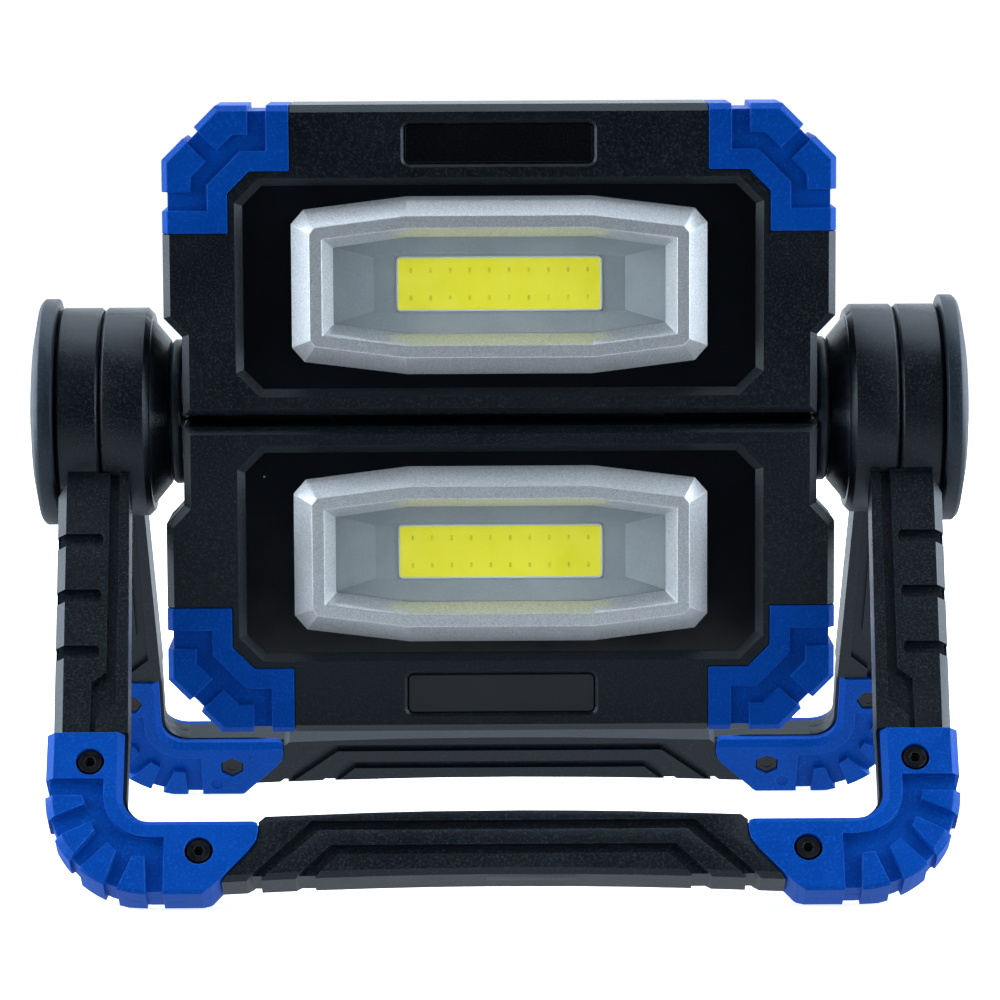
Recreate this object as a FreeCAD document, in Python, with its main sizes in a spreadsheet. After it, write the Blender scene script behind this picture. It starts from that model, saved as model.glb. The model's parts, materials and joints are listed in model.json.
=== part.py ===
"""Folding work light: two lamp panels and two U-shaped stands on one hinge shaft.

Every body is drawn about the hinge shaft: X runs along the shaft, and depth is measured along -Y.
  lamp bodies   Z is the height above the shaft, depth runs from the back cover to the lit face
  stand bodies  -Z is the distance down the leg, depth runs from the inner face to the outer face
Each body's Placement then sets it at the shaft's height and turns it to its rest angle.
"""
import FreeCAD, Part
import math
import os
import Sketcher

SIZES = [
    ("axis_height", 142.6, "hinge shaft above the floor"),
    ("stand_angle", 33.3, "each stand from the vertical, degrees"),
    ("lamp_lean", 0.6, "lamps lean towards their lit side at rest, degrees"),
    ("seam_gap", 0.3, "open seam round each bumper"),
    # hinge shaft and hub pieces along X
    ("shaft_radius", 4.0, "hinge shaft"),
    ("shaft_half_length", 145.9, "hinge shaft"),
    ("bore_radius", 4.05, "running bore on the shaft"),
    ("knuckle_bore_radius", 4.15, "running bore in the hinge knuckles"),
    ("hub_radius", 33.5, "round hub of each leg"),
    ("hub_clearance_radius", 34.1, "leg end round the other stand's hub"),
    ("hub_edge", 0.9, "bevel on the hub rims"),
    ("hub_inner_edge", 1.8, "bevel on the rear hub's inner rim"),
    ("inner_hub_start", 110.9, "rear stand's hub"),
    ("inner_hub_end", 126.2, "rear stand's hub"),
    ("outer_hub_start", 126.8, "front stand's hub"),
    ("outer_hub_end", 140.4, "front stand's hub"),
    ("collar_start", 105.4, "cone at the inner end of the rear hub"),
    ("collar_small_radius", 23.0, "cone"),
    ("collar_large_radius", 29.6, "cone"),
    ("disc_start", 101.1, "hinge disc beside the lamps"),
    ("disc_end", 104.9, "hinge disc"),
    ("disc_radius", 23.2, "hinge disc"),
    ("washer_radius", 19.0, "friction washers"),
    ("washer_gap", 0.1, "air on each side of a washer"),
    ("cap_start", 141.0, "hub cap's inner face"),
    ("cap_rim_start", 141.3, "hub cap's flange"),
    ("cap_rim_end", 145.5, "hub cap's flange"),
    ("cap_end", 150.2, "top of the hub cap's dome"),
    ("cap_slope", 1.3, "width of the slope between the flange and the dome"),
    ("cap_shoulder_drop", 1.6, "dome's shoulder below its top"),
    ("cap_shoulder_radius", 26.0, "dome's shoulder"),
    ("cap_crown_drop", 0.4, "dome's crown below its top"),
    ("cap_crown_radius", 15.0, "dome's crown"),
    ("cap_flat_radius", 6.0, "flat middle of the dome"),
    ("cap_radius", 36.4, "hub cap's flange"),
    ("cap_neck_radius", 34.2, "hub cap's inner face"),
    ("cap_dome_radius", 35.0, "foot of the dome"),
    ("nut_start", 141.2, "shaft nut"),
    ("nut_end", 145.2, "shaft nut"),
    ("nut_flat", 13.0, "shaft nut across flats"),
    # stand frame
    ("leg_inner", 115.0, "half width inside the legs, at their feet"),
    ("leg_inner_top", 117.5, "half width inside the legs, at the hubs"),
    ("leg_outer", 138.0, "half width outside the legs, at their feet"),
    ("leg_outer_top", 139.6, "half width outside the legs, at the hubs"),
    ("leg_top", 20.0, "where the leg's root ends inside the hub"),
    ("leg_cut_inner", 136.8, "cut outer corner at the leg's top"),
    ("leg_cut_start", 33.5, "cut outer corner at the leg's top"),
    ("leg_cut_end", 37.5, "cut outer corner at the leg's top"),
    ("core_outer", 134.4, "half width of the thin core inside a corner bumper"),
    ("bumper_top", 120.0, "where a corner bumper starts, down the leg"),
    ("bar_top", 148.1, "base bar's inner edge near its ends, down the leg"),
    ("bar_top_middle", 146.35, "base bar's inner edge at its middle"),
    ("bar_bottom", 168.3, "base bar's lower edge near its ends, down the leg"),
    ("bar_bottom_middle", 166.6, "base bar's lower edge at its middle"),
    ("core_top", 148.6, "thin core's inner edge inside a corner bumper"),
    ("core_bottom", 167.2, "thin core's lower edge inside a corner bumper"),
    ("frame_inner_face", 2.4, "depth of the frame's inner face"),
    ("frame_split", 9.0, "depth of the joint between the two shells"),
    ("frame_outer_face", 15.6, "depth of the frame's outer face"),
    ("core_inner_face", 5.5, "thin core inside a corner bumper"),
    ("core_outer_face", 12.5, "thin core inside a corner bumper"),
    ("frame_bevel", 2.8, "bevel along the leg's outer edge"),
    ("bar_bevel", 1.6, "bevel along the bar's lower edge"),
    ("inner_corner_radius", 8.0, "inside corner of the U"),
    ("core_corner_radius", 29.0, "outside corner of the thin core"),
    ("groove_depth", 1.6, "grooves in the frame's faces"),
    ("rib_outer", 120.4, "rib along the leg's inner edge, at the hub"),
    ("rib_outer_foot", 119.0, "rib before it widens"),
    ("rib_wide_outer", 125.0, "rib at its wide foot"),
    ("pad_inner", 123.5, "raised pad of the leg, at the hub"),
    ("pad_inner_foot", 122.4, "raised pad before its foot"),
    ("pad_foot_inner", 126.9, "raised pad at its foot"),
    ("notch_inner", 124.7, "inner end of the grip notches"),
    ("notch_height", 4.35, "grip notch"),
    ("notch_first", 53.85, "first grip notch, down the leg"),
    ("notch_pitch", 19.3, "grip notches"),
    ("notch_depth", 1.8, "grip notch"),
    ("notch_round", 0.9, "cut inner corners of a notch"),
    ("notch_side_depth", 1.3, "grip notch round the leg's outer edge"),
    # stand corner bumpers
    ("corner_inner", 116.1, "bumper's inner edge on the leg"),
    ("corner_outer", 139.8, "bumper's outer edge"),
    ("corner_bar_edge", 149.0, "bumper's inner edge on the bar"),
    ("corner_bottom", 173.1, "bumper's lower edge"),
    ("corner_end", 74.5, "bumper's end on the bar"),
    ("corner_radius", 33.0, "bumper's outer corner"),
    ("corner_inner_radius", 8.4, "bumper's inner corner"),
    ("corner_inner_face", 1.6, "depth of the bumper's inner face"),
    ("corner_outer_face", 16.4, "depth of the bumper's outer face"),
    ("channel_depth", 2.2, "channel between the bumper's raised parts"),
    ("channel_inset", 1.2, "channel's step in from the bumper's edge"),
    ("band_width", 5.8, "raised band along the inner edge"),
    ("block_height", 15.3, "raised block on the leg"),
    ("block_inner", 103.0, "raised block on the bar"),
    ("corner_bevel", 2.4, "bevel along the bumper's outer side"),
    ("corner_foot_bevel", 0.9, "bevel along the bumper's lower edge"),
    ("corner_foot_start", 162.5, "where the narrower bevel starts, down the leg"),
    ("corner_inner_bevel", 1.9, "bevel along the bumper's inner edge"),
    ("dimple_radius", 2.3, "round dimple beside the bar nut"),
    ("dimple_across", 98.0, "dimple's place along X"),
    ("dimple_down", 166.9, "dimple's place down the stand"),
    ("dimple_depth", 0.5, "dimple"),
    # stand fasteners
    ("leg_screw_x", 126.3, "screw through the leg end"),
    ("leg_screw_down", 129.7, "screw through the leg end"),
    ("bar_screw_x", 92.4, "screw through the bar end"),
    ("bar_screw_down", 159.2, "screw through the bar end"),
    ("screw_radius", 2.0, "M4 screw"),
    ("screw_hole_radius", 2.2, "clearance hole"),
    ("head_radius", 3.5, "socket head"),
    ("head_recess_radius", 4.4, "round recess for a head"),
    ("head_seat", 12.5, "depth of a head's seat"),
    ("head_top", 15.9, "depth of a head's top"),
    ("socket_radius", 1.75, "hexagon socket, to its corners"),
    ("socket_depth", 2.0, "hexagon socket"),
    ("lock_nut_flat", 7.0, "M4 nut across flats"),
    ("lock_nut_pocket_flat", 7.6, "pocket for an M4 nut"),
    ("lock_nut_start", 2.3, "depth of a nut's free face"),
    ("lock_nut_end", 5.5, "depth of a nut's seat"),
    # lamp housing
    ("lamp_half_width", 105.7, "lamp panel"),
    ("lamp_notch_half_width", 100.0, "lamp panel beside its hinge disc"),
    ("lamp_bottom", 1.85, "lamp's hinge edge above the shaft's axis"),
    ("lamp_notch_top", 26.7, "side notch"),
    ("lamp_notch_end", 32.6, "end of the side notch's diagonal"),
    ("lamp_top", 99.35, "lamp's free edge above the shaft's axis"),
    ("lamp_back", 0.5, "depth of the back"),
    ("lamp_split", 17.0, "depth of the joint between the housings"),
    ("lamp_front", 33.5, "depth of the front"),
    ("lamp_bevel", 2.3, "bevel round the front"),
    ("lamp_back_bevel", 1.5, "bevel round the back"),
    ("wall", 2.5, "housing walls"),
    ("cavity_bottom", 11.0, "inside of the housing above the hinge"),
    ("cavity_front", 26.9, "depth of the front wall's inside"),
    ("knuckle_radius", 7.5, "hinge knuckle"),
    ("knuckle_clearance_radius", 8.1, "housing round the other lamp's knuckle"),
    ("knuckle_half_length", 53.0, "middle knuckle"),
    ("knuckle_gap", 0.4, "between knuckles"),
    ("knuckle_end", 99.8, "outer end of the side knuckles"),
    ("recess_half_width", 80.6, "lit face's recess"),
    ("recess_bottom", 10.1, "lit face's recess"),
    ("recess_top", 74.1, "lit face's recess"),
    ("recess_corner", 6.2, "cut corner of the recess"),
    ("recess_bevel", 2.4, "bevel round the recess"),
    ("panel_face", 31.1, "depth of the gloss panel's face"),
    ("panel_back", 29.1, "depth of the gloss panel's back"),
    ("window_inset", 4.5, "ledge that carries the gloss panel"),
    ("label_half_width", 29.4, "label recess"),
    ("label_half_height", 6.0, "label recess"),
    ("label_middle", 87.1, "label recess, above the shaft's axis"),
    ("label_depth", 1.4, "label recess"),
    ("label_bevel", 1.3, "bevel round the label recess"),
    ("label_thickness", 0.7, "label plate"),
    ("label_radius", 1.6, "label corner"),
    ("boss_radius", 4.0, "screw boss"),
    ("boss_bore", 1.5, "screw boss"),
    ("case_head_radius", 3.0, "housing screw's head"),
    ("case_head_recess", 3.3, "recess for the housing screw's head"),
    ("case_head_depth", 2.6, "recess for the housing screw's head"),
    ("case_screw_end", 24.0, "depth of a housing screw's tip"),
    ("rib_slot_half_width", 46.0, "cooling slot in the back"),
    ("rib_slot_height", 2.2, "cooling slot in the back"),
    ("rib_slot_depth", 0.9, "cooling slot in the back"),
    ("rib_slot_first", 40.0, "lowest cooling slot"),
    ("rib_slot_pitch", 6.0, "cooling slots"),
    # lamp corner bumper, measured in from the side edge and down from the free edge
    ("tab_long", 40.0, "length of each arm"),
    ("tab_wide", 20.6, "width of each arm"),
    ("tab_diagonal", 27.5, "start of the inner diagonal"),
    ("tab_chamfer", 17.0, "cut outer corner"),
    ("tab_band_end", 32.9, "raised band's edge across the arm"),
    ("tab_band_side", 14.3, "raised band's edge along the arm"),
    ("tab_band_bend", 24.8, "raised band's bend"),
    ("tab_pad_end", 27.0, "raised pad's end"),
    ("tab_pad_side", 9.05, "raised pad's inner side"),
    ("tab_pad_bend", 22.4, "raised pad's bend"),
    ("tab_pad_tip", 17.4, "raised pad's tip, along the arm"),
    ("tab_pad_tip_side", 13.9, "raised pad's tip, across the arm"),
    ("tab_pad_foot", 10.25, "raised pad's foot on the cut corner"),
    ("tab_pad_foot_side", 6.75, "raised pad's foot on the cut corner"),
    ("tab_channel", 1.8, "channel depth"),
    ("tab_front", 34.1, "depth of the bumper's front"),
    ("tab_back", 1.1, "depth of the bumper's back"),
    ("tab_bevel", 1.9, "bevel along the outer edge"),
    ("tab_core_start", 5.0, "housing core inside the bumper, from the edges"),
    ("tab_core_end", 36.0, "housing core inside the bumper"),
    ("tab_core_chamfer", 24.0, "housing core's cut corner"),
    ("tab_core_back", 7.0, "housing core, depth"),
    ("tab_core_front", 27.0, "housing core, depth"),
    # lamp optics, about the middle of the lit face
    ("optic_middle", 42.6, "middle of the lit face above the shaft's axis"),
    ("optic_bend", 29.1, "half width of the straight middle of each outline"),
    ("bezel_half_width", 65.5, "bezel's foot"),
    ("bezel_side", 19.5, "bezel's foot, half height of its end"),
    ("bezel_corner", 61.5, "bezel's foot, corner"),
    ("bezel_corner_height", 24.1, "bezel's foot, corner"),
    ("bezel_half_height", 28.1, "bezel's foot"),
    ("ridge_half_width", 59.4, "bezel's ridge, outer edge"),
    ("ridge_side", 16.7, "bezel's ridge, half height of its end"),
    ("ridge_corner", 57.8, "bezel's ridge, corner"),
    ("ridge_corner_height", 18.6, "bezel's ridge, corner"),
    ("ridge_half_height", 22.2, "bezel's ridge"),
    ("crest_half_width", 55.6, "bezel's ridge, inner edge"),
    ("crest_side", 15.2, "bezel's ridge, inner edge"),
    ("crest_half_height", 18.4, "bezel's ridge, inner edge"),
    ("opening_half_width", 52.2, "light opening"),
    ("opening_side", 12.0, "light opening"),
    ("opening_half_height", 15.2, "light opening"),
    ("bezel_foot", 31.1, "depth of the bezel's foot"),
    ("bezel_lip", 31.9, "depth of the bezel's inner edge"),
    ("bezel_top", 38.5, "depth of the bezel's ridge"),
    ("lens_half_width", 54.4, "lens"),
    ("lens_side", 13.8, "lens"),
    ("lens_half_height", 17.0, "lens"),
    ("lens_back", 30.1, "depth of the lens's back"),
    ("seal_width", 1.6, "lens seal"),
    ("floor_half_width", 39.7, "reflector's floor"),
    ("floor_side", 8.5, "reflector's floor"),
    ("floor_half_height", 9.6, "reflector's floor"),
    ("floor_depth", 25.0, "depth of the reflector's floor"),
    ("reflector_wall", 1.2, "reflector"),
    ("reflector_rim", 3.0, "flange round the reflector"),
    ("phosphor_half_width", 32.5, "light source"),
    ("phosphor_half_height", 8.7, "light source"),
    ("phosphor_face", 25.5, "depth of the light source's face"),
    ("led_board_half_width", 38.0, "light source's board"),
    ("led_board_half_height", 10.6, "light source's board"),
    ("led_board_back", 22.2, "depth of the board's back"),
    ("sink_half_width", 44.0, "heat sink"),
    ("sink_half_height", 20.0, "heat sink"),
    ("sink_plate_back", 19.2, "depth of the heat sink plate's back"),
    ("sink_fin_back", 9.2, "depth of the fins' tips"),
    ("sink_fin_half", 0.9, "half thickness of a fin"),
    ("sink_fin_pitch", 7.6, "fins"),
    # lamp electrics
    ("cell_radius", 9.0, "battery cell"),
    ("cell_start", 1.5, "battery cell's inner end"),
    ("cell_end", 51.5, "battery cell's outer end"),
    ("cell_height", 80.1, "battery cell above the shaft's axis"),
    ("cell_depth", 14.2, "depth of a cell's axis"),
    ("driver_half_width", 34.0, "driver board"),
    ("driver_bottom", 13.0, "driver board"),
    ("driver_top", 64.0, "driver board"),
    ("driver_back", 6.4, "depth of the driver board"),
    ("driver_front", 8.0, "depth of the driver board"),
    ("part_back", 4.2, "depth of the tallest part on the driver board"),
    ("button_radius", 7.0, "power button"),
    ("button_hole_radius", 7.35, "hole for the power button"),
    ("button_height", 22.0, "power button above the shaft's axis"),
    ("button_back", 0.9, "depth of the button's face"),
    ("button_round", 0.8, "rounding of the button's face"),
    ("button_flange_radius", 8.6, "flange inside the back"),
    ("button_flange_back", 3.3, "depth of the flange"),
    ("button_flange_front", 4.4, "depth of the flange"),
    ("flap_half_width", 9.0, "charging port's cover"),
    ("flap_back", 8.0, "depth of the cover's hinged edge"),
    ("flap_front", 16.6, "depth of the cover's free edge"),
    ("flap_thickness", 1.6, "charging port's cover"),
    ("flap_gap", 0.35, "round the cover"),
    ("flap_top_gap", 0.1, "cover's face below the lamp's free edge"),
    ("port_half_width", 4.5, "charging socket"),
    ("port_back", 10.8, "charging socket"),
    ("port_front", 14.0, "charging socket"),
    ("port_length", 7.0, "charging socket"),
    ("port_wall", 0.5, "charging socket"),
    ("port_bore", 5.0, "depth of the socket's opening"),
    ("port_fit", 0.1, "air round the socket"),
]

doc = FreeCAD.newDocument("WorkLight")
sheet = doc.addObject("Spreadsheet::Sheet", "Sizes")


class Size:
    """A length that carries its value and the sheet expression that gives it."""

    def __init__(self, value, text):
        self.value = value
        self.text = text

    def combine(self, other, sign, swap=False):
        other = as_size(other)
        first, second = (other, self) if swap else (self, other)
        value = {"+": first.value + second.value, "-": first.value - second.value,
                 "*": first.value * second.value}[sign]
        return Size(value, f"({first.text} {sign} {second.text})")

    def __add__(self, other):
        return self.combine(other, "+")

    def __radd__(self, other):
        return self.combine(other, "+", True)

    def __sub__(self, other):
        return self.combine(other, "-")

    def __rsub__(self, other):
        return self.combine(other, "-", True)

    def __mul__(self, other):
        return self.combine(other, "*")

    def __rmul__(self, other):
        return self.combine(other, "*", True)

    def __neg__(self):
        return self.combine(-1, "*")


def as_size(value):
    return value if isinstance(value, Size) else Size(float(value), f"({float(value):.6f})")


class SizeTable:
    """Looks a size up by its alias: size.wall."""

    def __getattr__(self, alias):
        value = next(row[1] for row in SIZES if row[0] == alias)
        return Size(value, f"Sizes.{alias}")


size = SizeTable()


def fill_sheet():
    for number, (alias, value, words) in enumerate(SIZES, start=1):
        sheet.set(f"A{number}", words)
        sheet.set(f"B{number}", str(value))
        sheet.setAlias(f"B{number}", alias)
    doc.recompute()


class Circle:
    def __init__(self, x, y, radius):
        self.x, self.y, self.radius = as_size(x), as_size(y), as_size(radius)


def hexagon(x, y, flat, start=0):
    """Six corners of a hexagon of the given width across flats, the first at the start angle."""
    corner = flat * (1 / math.sqrt(3))
    turns = [math.radians(start + 60 * step) for step in range(6)]
    return [(x + corner * math.cos(turn), y + corner * math.sin(turn)) for turn in turns]


def rectangle(left, bottom, right, top):
    return [(left, bottom), (right, bottom), (right, top), (left, top)]


def mirrored(points):
    """A closed outline from its right half."""
    return list(points) + [(-as_size(x), y) for x, y in reversed(points)]


def flipped(points, side):
    """The same outline on the right (side 1) or the left (side -1)."""
    return [(as_size(x) * side, y) for x, y in points]


def origin_plane(body, role):
    return next(item for item in body.Origin.OriginFeatures if item.Role == role)


def fix_point(sketch, element, end, x, y):
    """Hold one end of a sketch element at x, y with expressions for both."""
    for kind, axis, value in (("DistanceX", -2, as_size(x)), ("DistanceY", -1, as_size(y))):
        if abs(value.value) < 1e-9:
            sketch.addConstraint(Sketcher.Constraint("PointOnObject", element, end, axis))
            continue
        index = sketch.addConstraint(Sketcher.Constraint(kind, element, end, value.value))
        sketch.setExpression(f"Constraints[{index}]", value.text)


def draw_polygon(sketch, points):
    corners = [FreeCAD.Vector(as_size(x).value, as_size(y).value, 0) for x, y in points]
    count = len(corners)
    first = sketch.GeometryCount
    for index, corner in enumerate(corners):
        sketch.addGeometry(Part.LineSegment(corner, corners[(index + 1) % count]), False)
    for index in range(count):
        joint = Sketcher.Constraint("Coincident", first + index, 2, first + (index + 1) % count, 1)
        sketch.addConstraint(joint)
    for index, (x, y) in enumerate(points):
        fix_point(sketch, first + index, 1, x, y)


def draw_circle(sketch, circle):
    middle = FreeCAD.Vector(circle.x.value, circle.y.value, 0)
    round_edge = Part.Circle(middle, FreeCAD.Vector(0, 0, 1), circle.radius.value)
    element = sketch.addGeometry(round_edge, False)
    fix_point(sketch, element, 3, circle.x, circle.y)
    index = sketch.addConstraint(Sketcher.Constraint("Radius", element, circle.radius.value))
    sketch.setExpression(f"Constraints[{index}]", circle.radius.text)


def add_sketch(body, plane, level, loops):
    """A sketch of closed loops on one of the body's own planes, at a level along its normal."""
    sketch = body.newObject("Sketcher::SketchObject", body.Name + "_outline")
    sketch.AttachmentSupport = [(origin_plane(body, plane + "_Plane"), "")]
    sketch.MapMode = "FlatFace"
    sketch.setExpression("AttachmentOffset.Base.z", as_size(level).text)
    for loop in loops:
        if isinstance(loop, Circle):
            draw_circle(sketch, loop)
        else:
            draw_polygon(sketch, loop)
    return sketch


def pad(body, plane, start, end, *loops):
    """Solid between two levels along the plane's normal."""
    feature = body.newObject("PartDesign::Pad", body.Name + "_pad")
    feature.Profile = add_sketch(body, plane, start, loops)
    feature.setExpression("Length", (as_size(end) - start).text)
    return feature


def pocket(body, plane, start, end, *loops):
    """Cut between two levels along the plane's normal: a pocket cuts back from its sketch."""
    feature = body.newObject("PartDesign::Pocket", body.Name + "_pocket")
    feature.Profile = add_sketch(body, plane, end, loops)
    feature.setExpression("Length", (as_size(end) - start).text)
    return feature


def loft(body, kind, plane, start, first, end, second):
    """Straight-sided loft between two outlines of the same number of corners."""
    feature = body.newObject("PartDesign::" + kind, body.Name + "_loft")
    feature.Profile = add_sketch(body, plane, start, [first])
    feature.Sections = [add_sketch(body, plane, end, [second])]
    feature.Ruled = True
    return feature


def edges_where(shape, test):
    """Names of the straight or curved edges whose start, middle and end all pass the test."""
    names = []
    for index, edge in enumerate(shape.Edges, start=1):
        low, high = edge.ParameterRange
        points = [edge.valueAt(low + (high - low) * part) for part in (0.0, 0.5, 1.0)]
        if all(test(point.x, point.z, -point.y) for point in points):
            names.append(f"Edge{index}")
    return names


def dress(body, kind, value, test):
    """Chamfer or fillet the edges that pass the test on x, height and depth."""
    doc.recompute()
    base = body.Tip
    names = edges_where(base.Shape, test)
    if not names:
        raise RuntimeError(f"no edges to dress on {body.Name}")
    feature = body.newObject("PartDesign::" + kind, body.Name + "_" + kind.lower())
    feature.Base = (base, names)
    feature.setExpression("Size" if kind == "Chamfer" else "Radius", as_size(value).text)
    return feature


def near(first, second, reach=0.02):
    return abs(first - as_size(second).value) < reach


class Group:
    """A rigid group of sub-parts that share a placement."""

    def __init__(self, prefix, yaw, pitch, roll):
        self.prefix = prefix
        turn = f"rotation({yaw}; {pitch}; {roll})"
        self.placement = f"placement(vector(0; 0; Sizes.axis_height); {turn})"

    def body(self, name):
        label = self.prefix + name
        body = doc.addObject("PartDesign::Body", label)
        body.Label = label
        body.AllowCompound = True
        body.setExpression("Placement", self.placement)
        return body


CORE = Group("", 0, 0, 0)
FRONT = Group("front_stand_", 0, 0, "-Sizes.stand_angle")
REAR = Group("rear_stand_", 180, 0, "-Sizes.stand_angle")
UPPER = Group("upper_lamp_", 0, 0, "Sizes.lamp_lean")
LOWER = Group("lower_lamp_", 0, 180, "-Sizes.lamp_lean")
SIDES = {"right": 1, "left": -1}


def local_sides(group):
    """Side names and their X sign in the group's own frame: two groups face the other way."""
    turned = -1 if group in (REAR, LOWER) else 1
    return {name: sign * turned for name, sign in SIDES.items()}


def levels(start, end, side):
    """A span along X on the right side, or its mirror image on the left."""
    return (as_size(start), as_size(end)) if side > 0 else (-as_size(end), -as_size(start))


# ---------------------------------------------------------------- hinge shaft and hub pieces

def hinge_shaft():
    body = CORE.body("hinge_shaft")
    pad(body, "YZ", -size.shaft_half_length, size.shaft_half_length, Circle(0, 0, size.shaft_radius))


def shaft_nuts():
    body = CORE.body("shaft_nuts")
    ring = [hexagon(0, 0, size.nut_flat), Circle(0, 0, size.shaft_radius)]
    for side in SIDES.values():
        pad(body, "YZ", *levels(size.nut_start, size.nut_end, side), *ring)


def friction_washers():
    body = CORE.body("friction_washers")
    gaps = [(size.disc_end, size.collar_start), (size.inner_hub_end, size.outer_hub_start),
            (size.outer_hub_end, size.cap_start)]
    ring = [Circle(0, 0, size.washer_radius), Circle(0, 0, size.shaft_radius)]
    for low, high in gaps:
        for side in SIDES.values():
            span = levels(low + size.washer_gap, high - size.washer_gap, side)
            pad(body, "YZ", *span, *ring)


def hinge_disc(name, side):
    body = CORE.body("hinge_disc_" + name)
    ring = [Circle(0, 0, size.disc_radius), Circle(0, 0, size.shaft_radius)]
    pad(body, "YZ", *levels(size.disc_start, size.disc_end, side), *ring)
    dress(body, "Chamfer", size.hub_edge, lambda x, height, depth:
          near(math.hypot(height, depth), size.disc_radius))


def hub_cap(name, side):
    """A flanged cap: a straight flange, a sloped shoulder and a low dome, turned about the shaft."""
    body = CORE.body("hub_cap_" + name)
    profile = [(size.cap_start, 0), (size.cap_start, size.cap_neck_radius),
               (size.cap_rim_start, size.cap_radius), (size.cap_rim_end, size.cap_radius),
               (size.cap_rim_end + size.cap_slope, size.cap_dome_radius),
               (size.cap_end - size.cap_shoulder_drop, size.cap_shoulder_radius),
               (size.cap_end - size.cap_crown_drop, size.cap_crown_radius),
               (size.cap_end, size.cap_flat_radius), (size.cap_end, 0)]
    turned = body.newObject("PartDesign::Revolution", body.Name + "_turned")
    turned.Profile = add_sketch(body, "XZ", 0, [flipped(profile, side)])
    turned.ReferenceAxis = (origin_plane(body, "X_Axis"), [""])
    turned.Angle = 360
    nut_room = hexagon(0, 0, size.nut_flat)
    pocket(body, "YZ", *levels(size.cap_start, size.shaft_half_length, side), nut_room)


# ---------------------------------------------------------------- stands

def hub_span(group):
    if group is FRONT:
        return size.outer_hub_start, size.outer_hub_end
    return size.inner_hub_start, size.inner_hub_end


def other_hub_span(group):
    if group is FRONT:
        return size.leg_inner - 1, size.outer_hub_start
    return size.inner_hub_end, size.leg_outer_top + 1


def leg_outer_at(down):
    """Half width outside the legs at a distance down from the shaft: the legs lean inwards."""
    share = (down - size.leg_cut_end.value) / (size.bumper_top.value - size.leg_cut_end.value)
    return size.leg_outer_top + (size.leg_outer - size.leg_outer_top) * share


def leg_edges():
    """The leg above its bumper: up its outer side, over the cut corner and down its inner side."""
    return [(size.leg_outer, -size.bumper_top + size.seam_gap), (size.leg_outer_top, -size.leg_cut_end),
            (size.leg_cut_inner, -size.leg_cut_start), (size.leg_cut_inner, -size.leg_top),
            (size.leg_inner_top, -size.leg_top), (size.leg_inner, -size.bumper_top + size.seam_gap)]


def core_outline():
    """The whole U, thin enough at its corners to lie inside the corner bumpers."""
    inside_bar, inside_bumper = 70, 84
    thinner = 1.5
    lower = [(inside_bar, thinner - size.core_bottom), (inside_bumper, -size.core_bottom),
             (size.core_outer, -size.core_bottom), (size.core_outer, -size.bumper_top)]
    upper = [(size.leg_inner, -size.core_top), (inside_bumper, -size.core_top),
             (inside_bar, -size.core_top - thinner)]
    return mirrored(lower + leg_edges() + upper)


def leg_outline(side):
    return flipped(leg_edges(), side)


def arched(end, middle, places):
    """Points of the bar's gently arched edge; end is its distance down at the bumper's end."""
    return [(x, (end - middle) * -(x / size.corner_end.value) ** 2 - middle) for x in places]


def bar_outline():
    """The bar between its two bumpers, with ends that follow the bumpers' ends."""
    end = [(x - size.seam_gap, -down) for x, down in BUMPER_END[4:0:-1]]
    return mirrored(arched(size.bar_bottom, size.bar_bottom_middle, (5, 22, 40, 58, 74, 85.3)) + end
                    + arched(size.bar_top, size.bar_top_middle, (72.4, 58, 40, 22, 5)))


def leg_groove(side):
    """Groove between the leg's raised pad and the rib along its inner edge."""
    foot = -size.bumper_top
    return flipped([
        (size.rib_outer, -size.leg_top), (size.rib_outer_foot, -109.9), (size.rib_wide_outer, -115.6),
        (size.rib_wide_outer, foot), (size.pad_foot_inner, foot), (size.pad_foot_inner, -103.1),
        (size.pad_inner_foot, -99.4), (size.pad_inner, -size.leg_top)], side)


# The bar's two nested channels: outer and inner corner of the bend, then the two sides at the lower edge.
CHANNELS = [((58.4, 149.5), (55.8, 152.6), 78.3, 74.2), ((52.4, 157.4), (50.0, 160.6), 64.2, 58.5)]
CHANNEL_END = 169.0
CHANNEL_NOTCH = 166.9


def bar_channels():
    """Channels that run along the bar, then down and out through its lower edge."""
    loops = []
    for (bend_x, bend), (inner_x, inner), far, near_side in CHANNELS:
        loops.append(mirrored([(bend_x, -bend), (far, -CHANNEL_END),
                               (near_side, -CHANNEL_END), (inner_x, -inner)]))
    return loops


def channel_notches():
    """The channels' way through the bar's lower edge, over its whole thickness."""
    rise = CHANNEL_END - CHANNEL_NOTCH
    loops = []
    for side in SIDES.values():
        for _, _, far, near_side in CHANNELS:
            notch = [(far - rise, -CHANNEL_NOTCH), (far + 1, -CHANNEL_END - 1),
                     (near_side + 1, -CHANNEL_END - 1), (near_side - rise, -CHANNEL_NOTCH)]
            loops.append(flipped(notch, side))
    return loops


def notch_levels():
    """Lower and upper level of each grip notch."""
    middles = [-size.notch_first - size.notch_pitch * step for step in range(3)]
    return [(middle - size.notch_height * 0.5, middle + size.notch_height * 0.5) for middle in middles]


def grip_notches(side):
    inner, outer, cut = size.notch_inner, size.leg_outer_top + 1, size.notch_round
    notches = []
    for low, high in notch_levels():
        notches.append(flipped([(inner + cut, low), (outer, low), (outer, high), (inner + cut, high),
                                (inner, high - cut), (inner, low + cut)], side))
    return notches


def edge_notches(side):
    """The grip notches' way round the leg's outer edge."""
    notches = []
    for low, high in notch_levels():
        inner = leg_outer_at(-high.value) - size.notch_side_depth
        notches.append(flipped(rectangle(inner, low, size.leg_outer_top + 1, high), side))
    return notches


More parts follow.
